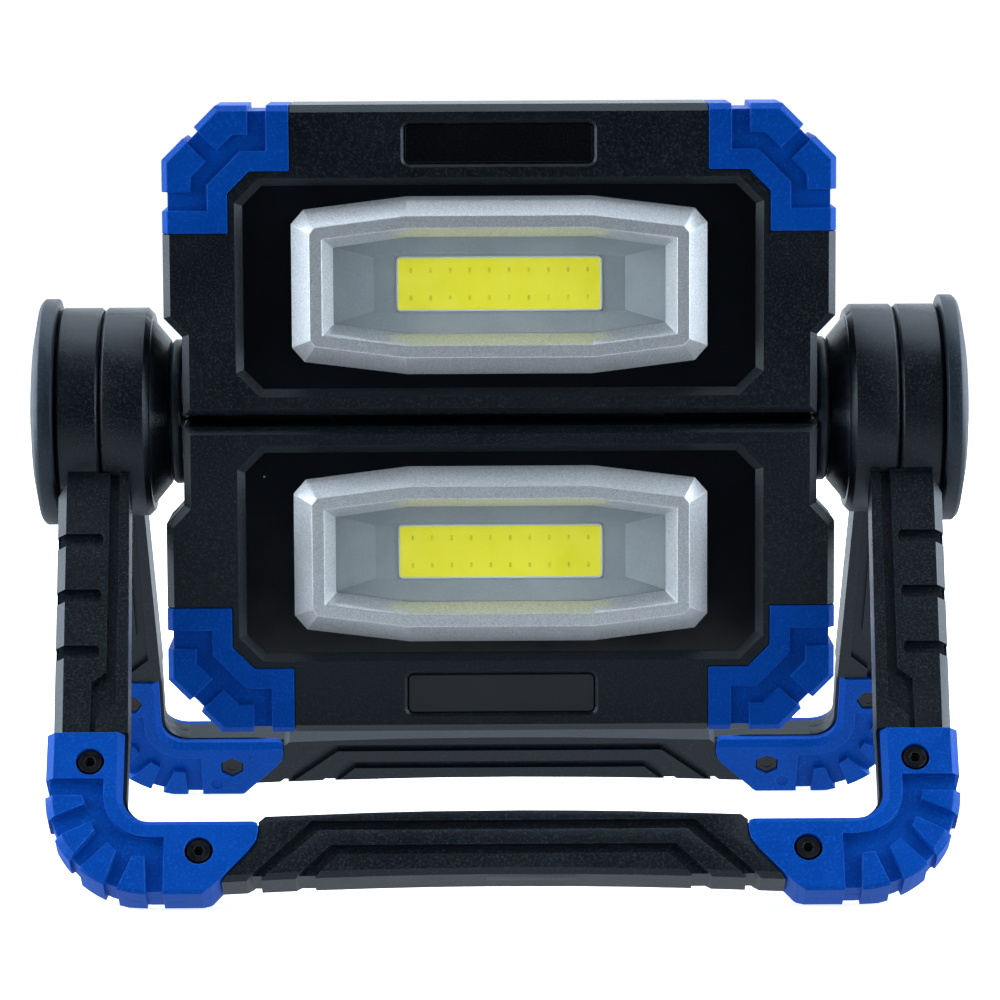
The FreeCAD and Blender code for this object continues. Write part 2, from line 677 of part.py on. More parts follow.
def frame_shell(group, outer):
    """One of the two shells that make a stand's U frame and its hubs."""
    body = group.body("frame_outer_shell" if outer else "frame_inner_shell")
    split = size.frame_split
    reach = size.hub_radius + 1
    if outer:
        core_span, face_span = (split, size.core_outer_face), (split, size.frame_outer_face)
        cut_away = rectangle(-split, -reach, reach, reach)
    else:
        core_span, face_span = (size.core_inner_face, split), (size.frame_inner_face, split)
        cut_away = rectangle(-reach, -reach, -split, reach)
    hub_start, hub_end = hub_span(group)
    for side in SIDES.values():
        pad(body, "YZ", *levels(hub_start, hub_end, side), Circle(0, 0, size.hub_radius))
    dress(body, "Chamfer", size.hub_edge, lambda x, height, depth:
          near(math.hypot(height, depth), size.hub_radius) and not near(abs(x), size.inner_hub_start))
    if group is REAR:
        dress(body, "Chamfer", size.hub_inner_edge, lambda x, height, depth:
              near(math.hypot(height, depth), size.hub_radius) and near(abs(x), size.inner_hub_start))
    for side in SIDES.values():
        pocket(body, "YZ", *levels(hub_start, hub_end, side), cut_away)
    pad(body, "XZ", *core_span, core_outline())
    dress(body, "Fillet", size.core_corner_radius, lambda x, height, depth:
          near(abs(x), size.core_outer) and near(height, -size.core_bottom))
    dress(body, "Fillet", size.inner_corner_radius, lambda x, height, depth:
          near(abs(x), size.leg_inner) and near(height, -size.core_top))
    for side in SIDES.values():
        pad(body, "XZ", *face_span, leg_outline(side))
    pad(body, "XZ", *face_span, bar_outline())
    face = face_span[1] if outer else face_span[0]
    bevel_frame(body, face)
    groove = (face - size.groove_depth, face) if outer else (face, face + size.groove_depth)
    for side in SIDES.values():
        pocket(body, "XZ", *groove, leg_groove(side))
    pocket(body, "XZ", *groove, *bar_channels())
    pocket(body, "XZ", *face_span, *channel_notches())
    if outer:
        for side in SIDES.values():
            pocket(body, "XZ", face - size.notch_depth, face, *grip_notches(side))
            pocket(body, "XZ", split + 1.5, face, *edge_notches(side))
    for side in SIDES.values():
        span = levels(*other_hub_span(group), side)
        pocket(body, "YZ", *span, Circle(0, 0, size.hub_clearance_radius))
        if not outer:
            span = levels(hub_start, hub_end, side)
            pocket(body, "YZ", *span, Circle(0, 0, size.bore_radius))
    holes = [Circle(x * side, -down, size.screw_hole_radius)
             for side in SIDES.values() for x, down in screw_places()]
    pocket(body, "XZ", *core_span, *holes)


def bevel_frame(body, face):
    """Bevel the leg's outer edge and the bar's lower edge on the shell's own face."""
    dress(body, "Chamfer", size.frame_bevel, lambda x, height, depth:
          near(depth, face) and near(abs(x), leg_outer_at(-height)))
    bar_low = -size.bar_bottom_middle.value + 0.1
    bar_reach = 86
    dress(body, "Chamfer", size.bar_bevel, lambda x, height, depth:
          near(depth, face) and height < bar_low and abs(x) < bar_reach)


# First corner of the nut on the leg and of the nut on the bar, in degrees.
NUT_TURNS = (0, 30)


def screw_places():
    return [(size.leg_screw_x, size.leg_screw_down), (size.bar_screw_x, size.bar_screw_down)]


def arc_points(x, y, radius, start, end, steps):
    """Points of an arc about a middle, from one angle to another in degrees."""
    turns = [math.radians(start + (end - start) * step / steps) for step in range(steps + 1)]
    return [(x + radius * math.cos(turn), y + radius * math.sin(turn)) for turn in turns]


def inner_corner(radius):
    """Arc about the middle of the bumper's inner corner, from the leg round to the bar."""
    middle = size.corner_inner_radius
    return arc_points(size.corner_inner - middle, middle - size.corner_bar_edge, radius, 0, -90, 6)


def outer_corner(inset, start, end, steps):
    """Arc of the bumper's outer corner between two angles: 0 is its outer side, -90 its lower edge."""
    reach = size.corner_radius
    x, y = size.corner_outer - reach, reach - size.corner_bottom
    return arc_points(x, y, reach - inset, start, end, steps)


# The bumper's end on the bar (across, down), from its inner edge round to its lower edge.
BUMPER_END = [(76.3, 149.0), (74.8, 149.9), (74.5, 152.5), (75.1, 155.8), (77.2, 159.0), (88.3, 171.2),
              (91.2, 173.1)]


def bumper_end(inset):
    """The end's outline from the lower edge up; inset raises the lower edge."""
    foot_x, _ = BUMPER_END[-1]
    return [(foot_x, inset - size.corner_bottom)] + [(x, -down) for x, down in BUMPER_END[-2::-1]]


def corner_outline(inset):
    """The corner bumper's outline; inset moves its outer edges inwards."""
    return ([(size.corner_inner, -size.bumper_top), (size.corner_outer - inset, -size.bumper_top)]
            + outer_corner(inset, 0, -90, 12) + bumper_end(inset)
            + inner_corner(size.corner_inner_radius)[::-1])


def leg_block():
    foot = -size.bumper_top - size.block_height
    return rectangle(size.corner_inner, foot, size.corner_outer, -size.bumper_top)


def bar_block():
    """Raised block on the bar, with the bumper's rounded end."""
    side = [(size.block_inner, -size.corner_bar_edge), (size.block_inner, -size.corner_bottom)]
    return side + bumper_end(0)


def inner_band():
    """Raised band that follows the inner corner from the leg block to the bar block."""
    band = size.corner_inner_radius + size.band_width
    foot = -size.bumper_top - size.block_height
    start = [(size.corner_inner, foot + 1), (size.corner_inner + size.band_width, foot + 1)]
    end = [(size.block_inner - 1, -size.corner_bar_edge - size.band_width),
           (size.block_inner - 1, -size.corner_bar_edge)]
    return start + inner_corner(band) + end + inner_corner(size.corner_inner_radius)[::-1]


# Each fin: the two corners of its inner end (across, down), and the angles at which its sides
# reach the bumper's round corner.
FINS = [((128.4, 140.8), (127.4, 143.7), -1.2, -15.0), ((125.7, 149.4), (124.2, 152.4), -26.4, -41.1),
        ((120.3, 156.5), (117.4, 159.0), -48.6, -64.3), ((112.5, 160.8), (108.8, 161.3), -72.1, -87.6)]


def fin(upper, lower, start, end):
    """A fin from beside the inner band out to the round corner, wider at its outer end."""
    return [(x, -down) for x, down in (upper, lower)] + outer_corner(0, end, start, 3)


def stand_corner(group, name, side, outer):
    """Half of a corner bumper: the outer half holds the screw heads, the inner half the nuts."""
    half = "outer" if outer else "inner"
    body = group.body(f"corner_{name}_{half}")

    def span(near_split, far):
        return (near_split, far) if outer else (far, near_split)
    split = size.frame_split
    face = size.corner_outer_face if outer else size.corner_inner_face
    floor = face - size.channel_depth if outer else face + size.channel_depth
    core = size.core_outer_face if outer else size.core_inner_face
    pad(body, "XZ", *span(split, floor), flipped(corner_outline(size.channel_inset), side))
    for raised in [leg_block(), bar_block()] + [fin(*corners) for corners in FINS]:
        pad(body, "XZ", *span(split, face), flipped(raised, side))
    pad(body, "XZ", *span(floor, face), flipped(inner_band(), side))
    foot_start = -size.corner_foot_start.value
    dress(body, "Chamfer", size.corner_bevel, lambda x, height, depth:
          near(depth, face) and on_corner_edge(abs(x), height) and height > foot_start)
    dress(body, "Chamfer", size.corner_foot_bevel, lambda x, height, depth:
          near(depth, face) and on_corner_edge(abs(x), height) and height < foot_start)
    dress(body, "Chamfer", size.corner_inner_bevel, lambda x, height, depth:
          near(depth, face) and on_inner_edge(abs(x), height))
    pocket(body, "XZ", *span(split, core), flipped(corner_core_outline(), side))
    holes = [Circle(x * side, -down, size.screw_hole_radius) for x, down in screw_places()]
    pocket(body, "XZ", *span(core, face), *holes)
    if outer:
        recesses = [Circle(x * side, -down, size.head_recess_radius) for x, down in screw_places()]
    else:
        recesses = [hexagon(x * side, -down, size.lock_nut_pocket_flat, turn)
                    for (x, down), turn in zip(screw_places(), NUT_TURNS)]
        floor_cut(body)
        dimple = Circle(size.dimple_across * side, -size.dimple_down, size.dimple_radius)
        pocket(body, "XZ", face, face + size.dimple_depth, dimple)
    seat = size.head_seat if outer else size.lock_nut_end
    pocket(body, "XZ", *span(seat, face), *recesses)


def on_corner_edge(x, height):
    """True on the bumper's outer boundary: its outer side, its round corner and its lower edge."""
    side_x, bottom, radius = size.corner_outer.value, -size.corner_bottom.value, size.corner_radius.value
    on_round = x > side_x - radius and height < bottom + radius
    on_round = on_round and abs(math.hypot(x - side_x + radius, height - bottom - radius) - radius) < 0.3
    return abs(x - side_x) < 0.02 or abs(height - bottom) < 0.02 or on_round


def on_inner_edge(x, height):
    """True on the bumper's inner boundary: the leg's side, the inner corner and the bar's edge."""
    side_x, edge = size.corner_inner.value, -size.corner_bar_edge.value
    radius = size.corner_inner_radius.value
    past_corner = x > side_x - radius - 0.01 and height < edge + radius + 0.01
    on_round = past_corner and abs(math.hypot(x - side_x + radius, height - edge - radius) - radius) < 0.1
    return near(x, size.corner_inner) or near(height, -size.corner_bar_edge) or on_round


def corner_core_outline():
    """Room for the frame's thin core, open towards the leg, the bar and the inner edge."""
    far = 3
    bottom = -size.core_bottom
    cut_up, cut_middle_up, cut_middle_in, cut_in = 20.2, 8.7, 6.9, 19.4
    return [
        (size.corner_inner - far, -size.bumper_top + far), (size.core_outer, -size.bumper_top + far),
        (size.core_outer, bottom + cut_up), (size.core_outer - cut_middle_in, bottom + cut_middle_up),
        (size.core_outer - cut_in, bottom), (size.corner_end - far, bottom),
        (size.corner_end - far, -size.corner_bar_edge + far),
        (size.corner_inner - far, -size.corner_bar_edge + far)]


def floor_cut(body):
    """Flat foot where the bumper's lower inner edge meets the floor."""
    angle = math.radians(size.stand_angle.value)
    foot = size.axis_height * (1 / math.cos(angle))
    rise = math.tan(angle)
    inward, outward, below = 4, 12, 8
    low = -outward * rise - foot
    wedge = [(inward, inward * rise - foot), (-outward, low), (inward, low - below)]
    pocket(body, "YZ", -size.corner_outer - 1, size.corner_outer + 1, wedge)


def hub_collars():
    """The two cones between the rear stand's hubs and the hinge discs."""
    body = REAR.body("collars")
    profile = [(size.collar_start, size.bore_radius), (size.collar_start, size.collar_small_radius),
               (size.inner_hub_start, size.collar_large_radius), (size.inner_hub_start, size.bore_radius)]
    for side in SIDES.values():
        turned = body.newObject("PartDesign::Revolution", body.Name + "_turned")
        turned.Profile = add_sketch(body, "XZ", 0, [flipped(profile, side)])
        turned.ReferenceAxis = (origin_plane(body, "X_Axis"), [""])
        turned.Angle = 360


def stand_screws(group):
    body = group.body("screws")
    places = [(x * side, -down) for side in SIDES.values() for x, down in screw_places()]
    pad(body, "XZ", size.lock_nut_start + 0.3, size.head_seat,
        *[Circle(x, z, size.screw_radius) for x, z in places])
    pad(body, "XZ", size.head_seat, size.head_top, *[Circle(x, z, size.head_radius) for x, z in places])
    pocket(body, "XZ", size.head_top - size.socket_depth, size.head_top,
           *[hexagon(x, z, size.socket_radius * math.sqrt(3)) for x, z in places])


def stand_nuts(group):
    body = group.body("nuts")
    loops = []
    for side in SIDES.values():
        for (x, down), turn in zip(screw_places(), NUT_TURNS):
            loops.append(hexagon(x * side, -down, size.lock_nut_flat, turn))
            loops.append(Circle(x * side, -down, size.screw_radius))
    pad(body, "XZ", size.lock_nut_start, size.lock_nut_end, *loops)


def stand(group):
    frame_shell(group, True)
    frame_shell(group, False)
    for name, side in local_sides(group).items():
        stand_corner(group, name, side, True)
        stand_corner(group, name, side, False)
    stand_screws(group)
    stand_nuts(group)


# ---------------------------------------------------------------- lamps

def lamp_outline(gap):
    """The housing without its corner bumpers."""
    side_x = size.lamp_half_width
    top = size.lamp_top
    return mirrored([
        (size.lamp_notch_half_width, size.lamp_bottom), (size.lamp_notch_half_width, size.lamp_notch_top),
        (side_x, size.lamp_notch_end), (side_x, top - size.tab_long - gap),
        (side_x - size.tab_wide - gap, top - size.tab_long - gap),
        (side_x - size.tab_wide - gap, top - size.tab_diagonal - gap * 0.4),
        (side_x - size.tab_diagonal - gap * 0.4, top - size.tab_wide - gap),
        (side_x - size.tab_long - gap, top - size.tab_wide - gap), (side_x - size.tab_long - gap, top)])


def tab_points(side, points):
    """Outline in the corner bumper's own measures: in from the side edge, down from the free edge."""
    return flipped([(size.lamp_half_width - u, size.lamp_top - v) for u, v in points], side)


def tab_core(side):
    low, high = size.tab_core_start, size.tab_core_end
    cut = size.tab_core_chamfer - low
    return tab_points(side, [
        (high, low), (high, size.tab_wide), (size.tab_diagonal, size.tab_wide),
        (size.tab_wide, size.tab_diagonal), (size.tab_wide, high), (low, high), (low, cut), (cut, low)])


def tab_core_root(side):
    """The same core with a little more depth, so that it joins the housing across the seam."""
    low, high = size.tab_core_start, size.tab_core_end
    cut = size.tab_core_chamfer - low
    wide = size.tab_wide + 1
    return tab_points(side, [
        (high, low), (high, wide), (size.tab_diagonal + 0.4, wide),
        (wide, size.tab_diagonal + 0.4), (wide, high), (low, high), (low, cut), (cut, low)])


def cavity_outline():
    """Hollow inside the lamp, stepped in past the screw posts and the bumpers' cores."""
    side, step, neck = 97.5, 82.2, 63.0
    step_height, cut_height, neck_height, cut = 56.3, 70.5, 76.0, 76.4
    return mirrored([
        (side, size.cavity_bottom), (side, step_height), (step, step_height), (step, cut_height),
        (cut, neck_height), (neck, neck_height), (neck, size.lamp_top - size.wall)])


def recess_outline(inset):
    half = size.recess_half_width - inset
    low, high = size.recess_bottom + inset, size.recess_top - inset
    cut = size.recess_corner
    return mirrored([(half - cut, low), (half, low + cut), (half, high - cut), (half - cut, high)])


def label_outline(inset):
    half, tall = size.label_half_width - inset, size.label_half_height - inset
    middle = size.label_middle
    return rectangle(-half, middle - tall, half, middle + tall)


CASE_SCREWS = ((91.5, 17.0), (91.5, 50.0), (57.3, 90.5))


def case_screw_places():
    return [(x * side, z) for side in SIDES.values() for x, z in CASE_SCREWS]


def front_housing(group):
    body = group.body("front_housing")
    pad(body, "XZ", size.lamp_split, size.lamp_front, lamp_outline(size.seam_gap))
    dress(body, "Chamfer", size.lamp_bevel, lambda x, height, depth:
          near(depth, size.lamp_front) and on_lamp_edge(x, height))
    pocket(body, "XZ", size.panel_back, size.lamp_front, recess_outline(0))
    dress(body, "Chamfer", size.recess_bevel, lambda x, height, depth:
          near(depth, size.lamp_front) and abs(x) < 81 and 10 < height < 75)
    pocket(body, "XZ", size.lamp_split, size.cavity_front, cavity_outline())
    pocket(body, "XZ", size.cavity_front, size.panel_back, recess_outline(size.window_inset))
    pocket(body, "XZ", size.lamp_front - size.label_depth, size.lamp_front, label_outline(0))
    dress(body, "Fillet", size.label_radius, lambda x, height, depth:
          near(abs(x), size.label_half_width) and depth > size.lamp_front.value - 1.5
          and near(abs(height - size.label_middle.value), size.label_half_height))
    dress(body, "Chamfer", size.label_bevel, lambda x, height, depth:
          near(depth, size.lamp_front) and abs(x) < 30 and abs(height - size.label_middle.value) < 6.1)
    for side in SIDES.values():
        pad(body, "XZ", size.lamp_split, size.tab_core_front, tab_core_root(side))
    bosses = [loop for x, z in case_screw_places()
              for loop in (Circle(x, z, size.boss_radius), Circle(x, z, size.boss_bore))]
    pad(body, "XZ", size.lamp_split, size.cavity_front, *bosses)


def on_lamp_edge(x, height):
    """True on the housing's outer edge: the seam edge, the sides and the free edge."""
    at_side = near(abs(x), size.lamp_half_width) or near(abs(x), size.lamp_notch_half_width)
    slope = size.lamp_notch_end.value - size.lamp_notch_top.value
    run = size.lamp_half_width.value - size.lamp_notch_half_width.value
    rise = (abs(x) - size.lamp_notch_half_width.value) / run * slope + size.lamp_notch_top.value
    on_diagonal = abs(x) > size.lamp_notch_half_width.value - 0.01 and abs(height - rise) < 0.02
    return at_side or on_diagonal or near(height, size.lamp_bottom) or near(height, size.lamp_top)


def rear_housing(group):
    body = group.body("rear_housing")
    pad(body, "XZ", size.lamp_back, size.lamp_split, lamp_outline(size.seam_gap))
    dress(body, "Chamfer", size.lamp_back_bevel, lambda x, height, depth:
          near(depth, size.lamp_back) and on_lamp_edge(x, height))
    pocket(body, "XZ", size.lamp_back + size.wall, size.lamp_split, cavity_outline())
    for side in SIDES.values():
        pad(body, "XZ", size.tab_core_back, size.lamp_split, tab_core_root(side))
    back_inside = size.lamp_back + size.wall
    bosses = [Circle(x, z, size.boss_radius) for x, z in case_screw_places()]
    pad(body, "XZ", back_inside, size.lamp_split, *bosses)
    holes = [Circle(x, z, size.boss_bore) for x, z in case_screw_places()]
    pocket(body, "XZ", size.lamp_back, size.lamp_split, *holes)
    recesses = [Circle(x, z, size.case_head_recess) for x, z in case_screw_places()]
    pocket(body, "XZ", size.lamp_back, size.lamp_back + size.case_head_depth, *recesses)
    pocket(body, "XZ", size.lamp_back, back_inside,
           Circle(0, size.button_height, size.button_hole_radius))
    half, tall = size.rib_slot_half_width, size.rib_slot_height
    slots = []
    for step in range(6):
        low = size.rib_slot_first + size.rib_slot_pitch * step
        slots.append(rectangle(-half, low, half, low + tall))
    pocket(body, "XZ", size.lamp_back, size.lamp_back + size.rib_slot_depth, *slots)
    hinge_knuckles(body, group)
    if group is LOWER:
        flap_room(body)


def hinge_knuckles(body, group):
    """The upper lamp has the middle knuckle, the lower lamp the two side knuckles."""
    middle = (-size.knuckle_half_length, size.knuckle_half_length)
    gap = size.knuckle_gap
    sides = [levels(size.knuckle_half_length + gap, size.knuckle_end, side) for side in SIDES.values()]
    own, other = ([middle], sides) if group is UPPER else (sides, [middle])
    for start, end in other:
        room = Circle(0, 0, size.knuckle_clearance_radius)
        if group is UPPER:
            low = start if start.value < 0 else start - gap
            high = end if start.value > 0 else end + gap
            low = low - 1 if start.value < 0 else low
            high = high + 1 if start.value > 0 else high
        else:
            low, high = start - gap, end + gap
        pocket(body, "YZ", low, high, room)
    for start, end in own:
        pad(body, "YZ", start, end, Circle(0, 0, size.knuckle_radius))
    pocket(body, "YZ", -size.knuckle_end - 1, size.knuckle_end + 1, Circle(0, 0, size.knuckle_bore_radius))


def flap_room(body):
    """Seat for the charging port's cover in the lamp's free edge, with the socket's hole."""
    gap = size.flap_gap
    top = size.lamp_top
    seat = rectangle(-size.lamp_split, top - size.flap_thickness - gap, -size.flap_back + gap, top + 1)
    half = size.flap_half_width + gap
    pocket(body, "YZ", -half, half, seat)
    fit = size.port_fit
    hole = rectangle(-size.port_front - fit, top - 3, -size.port_back + fit, top)
    pocket(body, "YZ", -size.port_half_width - fit, size.port_half_width + fit, hole)


def lamp_bumper(group, name, side):
    """Soft corner: raised band and two raised pads round a channel that also cuts the outer edge."""
    body = group.body("bumper_" + name)
    channel = size.tab_channel
    cut = size.tab_chamfer + channel * math.sqrt(2) - channel
    base = [(size.tab_long, channel), (size.tab_long, size.tab_wide), (size.tab_diagonal, size.tab_wide),
            (size.tab_wide, size.tab_diagonal), (size.tab_wide, size.tab_long), (channel, size.tab_long),
            (channel, cut), (cut, channel)]
    band = [(size.tab_long, 0), (size.tab_long, size.tab_wide), (size.tab_diagonal, size.tab_wide),
            (size.tab_wide, size.tab_diagonal), (size.tab_wide, size.tab_long), (0, size.tab_long),
            (0, size.tab_band_end), (size.tab_band_side, size.tab_band_end),
            (size.tab_band_side, size.tab_band_bend), (size.tab_band_bend, size.tab_band_side),
            (size.tab_band_end, size.tab_band_side), (size.tab_band_end, 0)]
    first = [(size.tab_pad_end, 0), (size.tab_pad_end, size.tab_pad_side),
             (size.tab_pad_bend, size.tab_pad_side), (size.tab_pad_tip, size.tab_pad_tip_side),
             (size.tab_pad_foot, size.tab_pad_foot_side), (size.tab_chamfer, 0)]
    second = [(v, u) for u, v in first]
    back, front = size.tab_back, size.tab_front
    pad(body, "XZ", back + channel, front - channel, tab_points(side, base))
    for raised in (band, first, second):
        pad(body, "XZ", back, front, tab_points(side, raised))
    dress(body, "Chamfer", size.tab_bevel, lambda x, height, depth:
          (near(depth, front) or near(depth, back)) and on_tab_edge(x, height))
    pocket(body, "XZ", size.tab_core_back, size.tab_core_front, tab_core(side))


def on_tab_edge(x, height):
    u = size.lamp_half_width.value - abs(x)
    v = size.lamp_top.value - height
    return abs(u) < 0.02 or abs(v) < 0.02 or abs(u + v - size.tab_chamfer.value) < 0.02


def optic_outline(half_width, side_height, half_height, corner=None, corner_height=None):
    """Outline of the lit opening's family: a straight middle and ends that taper, about its centre."""
    quarter = [(half_width, side_height)]
    if corner is not None:
        quarter.append((corner, corner_height))
    quarter.append((size.optic_bend, half_height))
    upper = quarter + [(-as_size(x), y) for x, y in reversed(quarter)]
    lower = [(x, -as_size(y)) for x, y in reversed(upper)]
    return [(x, y + size.optic_middle) for x, y in upper + lower]


def lens_outline(grow):
    return optic_outline(size.lens_half_width + grow, size.lens_side + grow, size.lens_half_height + grow)


def face_panel(group):
    body = group.body("face_panel")
    pad(body, "XZ", size.panel_back, size.panel_face, recess_outline(0), lens_outline(0.1))


def bezel(group):
    body = group.body("bezel")
    foot = optic_outline(size.bezel_half_width, size.bezel_side, size.bezel_half_height,
                         size.bezel_corner, size.bezel_corner_height)
    ridge = optic_outline(size.ridge_half_width, size.ridge_side, size.ridge_half_height,
                          size.ridge_corner, size.ridge_corner_height)
    crest = optic_outline(size.crest_half_width, size.crest_side, size.crest_half_height)
    opening = optic_outline(size.opening_half_width, size.opening_side, size.opening_half_height)
    loft(body, "AdditiveLoft", "XZ", size.bezel_foot, foot, size.bezel_top, ridge)
    loft(body, "SubtractiveLoft", "XZ", size.bezel_lip, opening, size.bezel_top, crest)
    pocket(body, "XZ", size.bezel_foot, size.bezel_lip, opening)


def lens(group):
    body = group.body("lens")
    pad(body, "XZ", size.lens_back, size.panel_face, lens_outline(0))


def lens_seal(group):
    body = group.body("lens_seal")
    pad(body, "XZ", size.panel_back, size.lens_back, lens_outline(0), lens_outline(-1 * size.seal_width))


def reflector(group):
    body = group.body("reflector")
    wall = size.reflector_wall
    grow = size.reflector_rim
    rim = optic_outline(size.opening_half_width + grow, size.opening_side + grow,
                        size.opening_half_height + grow)
    mouth = optic_outline(size.opening_half_width, size.opening_side, size.opening_half_height)
    floor = optic_outline(size.floor_half_width, size.floor_side, size.floor_half_height)
    mouth_out = optic_outline(size.opening_half_width + wall, size.opening_side + wall,
                              size.opening_half_height + wall)
    floor_out = optic_outline(size.floor_half_width + wall, size.floor_side + wall,
                              size.floor_half_height + wall)
    back = size.floor_depth - wall
    rim_back = size.panel_back - wall
    pad(body, "XZ", rim_back, size.panel_back, rim)
    loft(body, "AdditiveLoft", "XZ", back, floor_out, rim_back, mouth_out)
    loft(body, "SubtractiveLoft", "XZ", size.floor_depth, floor, size.panel_back, mouth)
    half, tall = size.phosphor_half_width + 0.1, size.phosphor_half_height + 0.1
    middle = size.optic_middle
    pocket(body, "XZ", back, size.floor_depth, rectangle(-half, middle - tall, half, middle + tall))


def led_parts(group):
    middle = size.optic_middle
    board = group.body("led_board")
    half, tall = size.led_board_half_width, size.led_board_half_height
    board_front = size.floor_depth - size.reflector_wall
    pad(board, "XZ", size.led_board_back, board_front, rectangle(-half, middle - tall, half, middle + tall))
    phosphor = group.body("led_phosphor")
    half, tall = size.phosphor_half_width, size.phosphor_half_height
    pad(phosphor, "XZ", board_front, size.phosphor_face, rectangle(-half, middle - tall, half, middle + tall))


def heat_sink(group):
    body = group.body("heat_sink")
    middle = size.optic_middle
    half, tall = size.sink_half_width, size.sink_half_height
    low, high = middle - tall, middle + tall
    pad(body, "XZ", size.sink_plate_back, size.led_board_back, rectangle(-half, low, half, high))
    fin_loops = []
    for step in range(-5, 6):
        place = size.sink_fin_pitch * step
        fin_loops.append(rectangle(place - size.sink_fin_half, low, place + size.sink_fin_half, high))
    pad(body, "XZ", size.sink_fin_back, size.sink_plate_back, *fin_loops)


def battery_cells(group):
    body = group.body("battery_cells")
    cell = Circle(-size.cell_depth, size.cell_height, size.cell_radius)
    for side in SIDES.values():
        pad(body, "YZ", *levels(size.cell_start, size.cell_end, side), cell)


def driver_board(group):
    body = group.body("driver_board")
    half = size.driver_half_width
    pad(body, "XZ", size.driver_back, size.driver_front,
        rectangle(-half, size.driver_bottom, half, size.driver_top))
    parts = [rectangle(x, z, x + wide, z + tall) for x, z, wide, tall in
             ((-30, 44, 12, 9), (-12, 46, 7, 7), (2, 42, 14, 12), (22, 48, 8, 10), (-28, 34, 6, 4))]
    pad(body, "XZ", size.part_back, size.driver_back, *parts)


def label_plate(group):
    body = group.body("label_plate")
    back = size.lamp_front - size.label_depth
    pad(body, "XZ", back, back + size.label_thickness, label_outline(0.1))
    dress(body, "Fillet", size.label_radius - 0.1, lambda x, height, depth:
          near(abs(x), size.label_half_width - 0.1)
          and near(abs(height - size.label_middle.value), size.label_half_height - 0.1))


def case_screws(group):
    body = group.body("case_screws")
    places = case_screw_places()
    seat = size.lamp_back + size.case_head_depth
    pad(body, "XZ", seat, size.case_screw_end, *[Circle(x, z, size.boss_bore) for x, z in places])
    pad(body, "XZ", seat - 2.0, seat, *[Circle(x, z, size.case_head_radius) for x, z in places])
    long, wide = 1.6, 0.35
    for half, tall in ((long, wide), (wide, long)):
        slots = [rectangle(x - half, z - tall, x + half, z + tall) for x, z in places]
        pocket(body, "XZ", seat - 2.0, seat - 1.0, *slots)


def power_button(group):
    body = group.body("power_button")
    place = (0, size.button_height)
    pad(body, "XZ", size.button_back, size.button_flange_back, Circle(*place, size.button_radius))
    pad(body, "XZ", size.button_flange_back, size.button_flange_front,
        Circle(*place, size.button_flange_radius))
    dress(body, "Fillet", size.button_round, lambda x, height, depth: near(depth, size.button_back))


def charging_port():
    """Socket inside the lower lamp's free edge, and the rubber flap that covers it."""
    top = size.lamp_top
    socket = LOWER.body("charging_socket")
    lip = size.flap_thickness + size.flap_gap
    wall, half = size.port_wall, size.port_half_width
    outer = rectangle(-size.port_front, top - lip - size.port_length, -size.port_back, top - lip)
    pad(socket, "YZ", -half, half, outer)
    bore_bottom = top - lip - size.port_bore
    inner = rectangle(-size.port_front + wall, bore_bottom, -size.port_back - wall, top - lip)
    pocket(socket, "YZ", -half + wall, half - wall, inner)
    flap = LOWER.body("port_cover")
    low, high = top - size.flap_thickness, top - size.flap_top_gap
    edge_radius = (size.flap_thickness - size.flap_top_gap) * 0.5
    hinged_edge = arc_points(-size.flap_back - edge_radius, low + edge_radius, edge_radius, 90, -90, 6)
    outline = [(-size.flap_front, low), (-size.flap_front, high)] + hinged_edge
    pad(flap, "YZ", -size.flap_half_width, size.flap_half_width, outline)


def lamp(group):
    front_housing(group)
    rear_housing(group)
    for name, side in local_sides(group).items():
        lamp_bumper(group, name, side)
    face_panel(group)
    bezel(group)
    lens(group)
    lens_seal(group)
    reflector(group)
    led_parts(group)
    heat_sink(group)
    battery_cells(group)
    driver_board(group)
    label_plate(group)
    case_screws(group)
    power_button(group)


def build():
    fill_sheet()
    hinge_shaft()
    shaft_nuts()
    friction_washers()
    for name, side in SIDES.items():
        hinge_disc(name, side)
        hub_cap(name, side)
    stand(FRONT)
    stand(REAR)
    hub_collars()
    lamp(UPPER)
    lamp(LOWER)
    charging_port()
    doc.recompute()


def check():
    """Stop on a failed object, a bad shape or a cut that removes nothing."""
    for item in doc.Objects:
        if "Invalid" in item.State or "Error" in item.State:
            raise RuntimeError(f"{item.Name} failed: {item.State}")
        if item.TypeId == "PartDesign::Pocket" and item.BaseFeature is not None:
            if item.Shape.Volume > item.BaseFeature.Shape.Volume - 0.01:
                raise RuntimeError(f"{item.Name} cuts nothing")
    for body in doc.findObjects("PartDesign::Body"):
        if body.Shape.isNull() or not body.Shape.isValid():
            raise RuntimeError(f"{body.Label} has a bad shape")


def write():
    os.makedirs("parts", exist_ok=True)
    for body in doc.findObjects("PartDesign::Body"):
        body.Shape.exportStep(f"parts/{body.Label}.step")


build()
check()
write()
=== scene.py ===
"""Looks of the folding work light: materials, softened edges, small parts, floor, light and camera."""

import json
import math

import bpy
from mathutils import Matrix, Vector


